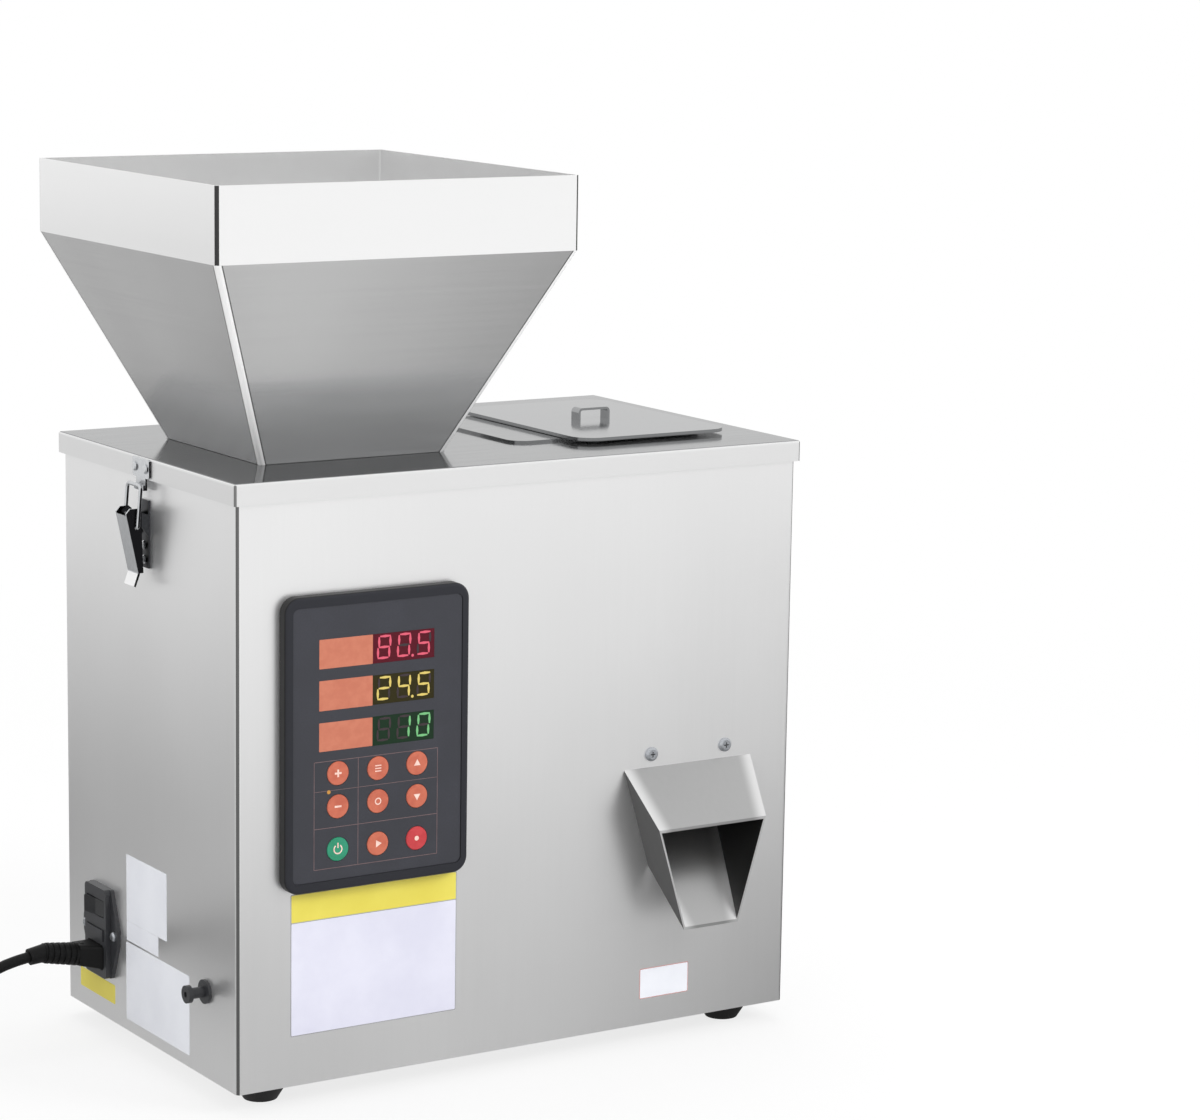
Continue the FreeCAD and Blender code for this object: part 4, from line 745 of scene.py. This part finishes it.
def key_sign(name, mesh):
    """The flat outline of one key's sign, about its own middle."""
    if name == "key_plus":
        plate(mesh, 0, 0, 4.6, 1.2)
        plate(mesh, 0, 1.45, 1.2, 1.7)
        plate(mesh, 0, -1.45, 1.2, 1.7)
    elif name == "key_minus":
        plate(mesh, 0, 0, 4.6, 1.2)
    elif name == "key_mode":
        for y in (-1.7, 0, 1.7):
            plate(mesh, 0, y, 4.2, 0.7)
    elif name == "key_clear":
        ring(mesh, 0, 0, 1.5, 2.2)
    elif name in ("key_up", "key_down", "key_feed"):
        disc(mesh, 0, 0, 2.6, 3, {"key_up": 0, "key_down": 180, "key_feed": -90}[name])
    elif name == "key_power":
        ring(mesh, 0, 0, 2.3, 3.1, 125, 290)
        plate(mesh, 0, 2.4, 0.8, 3.2)
    else:
        disc(mesh, 0, 0, 1.5)


for name, (x, z) in key_spots.items():
    mesh = bmesh.new()
    key_sign(name, mesh)
    thicken(mesh, 0.05)
    sign_name = name.replace("key", "sign")
    settle(sign_name, mesh, facing_front(x, key_y, z), name, pale_ink)
print("key signs", len(key_spots))

# %% [markdown]
# ## Labels
#
# The machine carries a large label under the panel and several small ones by the inlet. They are
# thin paper with rounded corners and stay blank: only the sheet, its border and its coloured band
# are made.

# %% Blank labels
def label(name, place, width, height, finish, raised, radius=1.0, y=0.0):
    """One blank sheet on the case, at a height y over the middle of its place."""
    mesh = bmesh.new()
    plate(mesh, 0, y, width, height, radius)
    thicken(mesh, raised)
    settle(name, mesh, place, "case", finish)


front_y, left_x = -106.9, -200.0
under_panel = facing_front(-106.5, front_y, 88.3)
label("label_front_border", under_panel, 115.4, 88.6, label_grey, 0.08)
label("label_front_sheet", under_panel, 114.2, 69.8, label_white, 0.12, 0.6, -8.8)
label("label_front_band", under_panel, 114.2, 17.0, label_yellow, 0.12, 0.6, 35.2)
by_chute = facing_front(106.3, front_y, 40.0)
label("label_small_border", by_chute, 37.4, 20.0, label_pink, 0.08)
label("label_small_sheet", by_chute, 36.4, 19.0, label_pale, 0.12, 0.6)
label("label_side_upper", facing_left(left_x, 16.6, 106.5), 57.0, 43.0, label_pale, 0.12)
label("label_side_middle", facing_left(left_x, 22.6, 78.5), 45.0, 12.6, label_pale, 0.12, 0.4)
label("label_side_lower", facing_left(left_x, 1.6, 45.7), 89.0, 50.5, label_pale, 0.12)
label("label_side_yellow", facing_left(left_x, 88.8, 31.2), 51.5, 12.5, label_yellow, 0.12)

# %% [markdown]
# ## Screw recesses
#
# The two screws over the chute have a cross recess. It is dark because hardly any light gets in, so
# two thin dark bars on the crown of each head say enough at this size.

# %% Cross recesses
recess_dark = moulded("recess_dark", "1c1d1f", "26272a", 0.5, 600.0, 0.00001)
screw_off, crown_y, screw_z = 28.2, -109.1, 190.5
for name, side in (("recess_left", -1), ("recess_right", 1)):
    mesh = bmesh.new()
    plate(mesh, 0, 0, 3.4, 0.75, 0.2)
    plate(mesh, 0, 1.1, 0.75, 1.3)
    plate(mesh, 0, -1.1, 0.75, 1.3)
    thicken(mesh, 0.05)
    crown = facing_front(121.5 + side * screw_off, crown_y, screw_z)
    settle(name, mesh, crown, "case", recess_dark)

# %% [markdown]
# ## Strain relief
#
# Where the lead leaves its connector, a row of rubber rings stiffens it and fades out towards the
# cord. The outline of the rings is drawn once along an axis and spun round it.

# %% Ribbed relief
relief_start, relief_end = Vector((-214.0, 79.1, 56.3)), Vector((-242.1, 79.0, 60.9))
relief_length, rib_count = 27.0, 7
thick_end, thin_end = 7.6, 6.6
# A rib's own outline: the share of its length, and how far the outline lies below the crown there.
rib_outline = ((0.06, 0.0), (0.55, 0.15), (0.62, 1.1), (0.98, 1.15))
rib_length = relief_length / rib_count
outline = [(0.0, thin_end * 0.75)]
for rib in range(rib_count):
    crown_radius = thick_end + (thin_end - thick_end) * rib / rib_count
    outline += [((rib + share) * rib_length, crown_radius - low) for share, low in rib_outline]
outline += [(relief_length, thin_end * 0.95), (relief_length + 0.3, thin_end * 0.75)]
mesh = bmesh.new()
points = [mesh.verts.new((radius / 1000, 0, height / 1000)) for height, radius in outline]
edges = [mesh.edges.new(pair) for pair in zip(points, points[1:])]
bmesh.ops.spin(mesh, geom=points + edges, cent=(0, 0, 0), axis=(0, 0, 1), angle=math.tau, steps=28,
               use_merge=True, use_duplicate=False)
bmesh.ops.remove_doubles(mesh, verts=mesh.verts[:], dist=1e-6)
bmesh.ops.holes_fill(mesh, edges=[e for e in mesh.edges if e.is_boundary], sides=0)
bmesh.ops.recalc_face_normals(mesh, faces=mesh.faces[:])
along = (relief_end - relief_start).normalized()
aim = along.to_track_quat("Z", "Y").to_matrix().to_4x4()
foot = Matrix.Translation((relief_start + along * 2) / 1000)
settle("connector_relief", mesh, foot @ aim, "case", cord_jacket)

# %% [markdown]
# ## The bench and the light
#
# The machine stands on a pale bench before a white background. The camera sees the bench fade to
# white with distance. The steel mirrors the bench too, and there its brightness varies with place,
# so that the sheets show the darker and lighter zones that they have in the photograph.

# %% Bench
floor_mesh = bmesh.new()
bmesh.ops.create_grid(floor_mesh, x_segments=1, y_segments=1, size=6.0)
floor_data = bpy.data.meshes.new("bench")
floor_mesh.to_mesh(floor_data)
floor_mesh.free()
bench = bpy.data.objects.new("bench", floor_data)
scene.collection.objects.link(bench)
bench_white = Finish("bench_white", Base_Color=tone("f2f2f2"), Roughness=0.8)
floor_data.materials.append(bench_white.material)

# %% [markdown]
# The left side mirrors the bench towards the back left, the front mirrors it towards the right, and
# the hopper's left taper mirrors a patch between the two. Distances are in metres, along and across
# the camera's direction of view turned to the floor.

# %% Mirrored brightness of the bench
forward, aside = 0.84, 0.54
bench_ease = bench_white.ease
bench_x, bench_y = bench_white.place("X"), bench_white.place("Y")
far_away = bench_white.maths("SQRT", bench_x * bench_x + bench_y * bench_y)
to_back_left = bench_y * forward - bench_x * aside
to_right = bench_x * forward + bench_y * aside
side_band = bench_ease(to_back_left, 0.25, 0.95) - bench_ease(to_back_left, 1.4, 2.6)
side_foot = bench_ease(to_back_left, 0.1, 0.5)
side_top = bench_ease(to_back_left, 2.9, 3.3)
front_foot = bench_ease(to_right, -0.15, 0.3) * bench_ease(far_away, 1.2, 2.2, 0.42, 0.0)
front_middle = bench_ease(far_away, 0.9, 1.3) - bench_ease(far_away, 1.6, 1.95)
front_middle = front_middle * bench_ease(to_right, -0.06, 0.1, 0.0, 0.26) * (to_back_left < 0.0)
taper_lift = bench_ease(to_right, 0.04, 0.16, 0.0, 0.33) * bench_ease(to_back_left, 1.1, 1.7, 1.0, 0.0)
taper_lift = taper_lift * (to_back_left > 0.0)
mirrored_level = bench_ease(far_away, 0.2, 1.7, 0.5, 1.03)
mirrored_level = mirrored_level - (side_band * 0.3 + side_foot * 0.07) - front_foot - side_top * 0.25
mirrored_level = mirrored_level - front_middle + taper_lift


def glow_of(strength):
    """A white light of some strength, as a shader."""
    sockets = {"Color": (1, 1, 1, 1), "Strength": strength}
    return bench_white.node("ShaderNodeEmission", {}, sockets)


def blend(share, first, second):
    """Two shaders mixed by a share between 0 and 1."""
    return bench_white.node("ShaderNodeMixShader", {}, {0: share, 1: first, 2: second})


seen = bench_white.node("ShaderNodeLightPath", out="Is Camera Ray")
mirrored = bench_white.node("ShaderNodeLightPath", out="Is Glossy Ray")
mirror_glow = blend(mirrored_level, glow_of(0.0), glow_of(1.0))
surface = blend(mirrored, Tap(bench_white, bench_white.shader.outputs[0]), mirror_glow)
surface = blend(seen * bench_ease(far_away, 0.4, 1.6, 0.78, 1.0), surface, glow_of(1.0))
output = next(n for n in bench_white.nodes if n.type == "OUTPUT_MATERIAL")
bench_white.plug(output.inputs["Surface"], surface)

# %% [markdown]
# The world is white where the camera or a mirror sees it, and weaker as a light, because the lamps
# do the rest. The lamps themselves don't show in the steel.

# %% World and lamps
world_light = 0.66
world = bpy.data.worlds.new("studio")
scene.world = world
world.use_nodes = True
nodes, links = world.node_tree.nodes, world.node_tree.links
background = nodes["Background"]
background.inputs["Color"].default_value = (1, 1, 1, 1)
paths = nodes.new("ShaderNodeLightPath")
straight = nodes.new("ShaderNodeMath")
straight.operation = "ADD"
links.new(paths.outputs["Is Camera Ray"], straight.inputs[0])
links.new(paths.outputs["Is Glossy Ray"], straight.inputs[1])
level = nodes.new("ShaderNodeMath")
level.operation = "MULTIPLY_ADD"
links.new(straight.outputs[0], level.inputs[0])
level.inputs[1].default_value = 1 - world_light
level.inputs[2].default_value = world_light
links.new(level.outputs[0], background.inputs["Strength"])


def lamp(name, place, target, size, power):
    """A soft area lamp at a place, turned to a target."""
    data = bpy.data.lights.new(name, "AREA")
    data.shape = "RECTANGLE"
    data.size = data.size_y = size
    data.energy = power
    made = bpy.data.objects.new(name, data)
    scene.collection.objects.link(made)
    aim = (Vector(target) - Vector(place)).to_track_quat("-Z", "Y").to_matrix().to_4x4()
    made.matrix_world = Matrix.Translation(place) @ aim
    made.visible_glossy = False


lamp("key_lamp", (1.8, -2.2, 1.9), (0, 0, 0.25), 1.2, 45)
lamp("fill_lamp", (-2.4, -1.2, 1.6), (0, 0, 0.25), 1.6, 14)
lamp("top_lamp", (0.2, 0.6, 2.6), (0, 0, 0.3), 1.6, 22)

# %% [markdown]
# ## The measured box
#
# The dressed machine must stay inside the measured one's box.
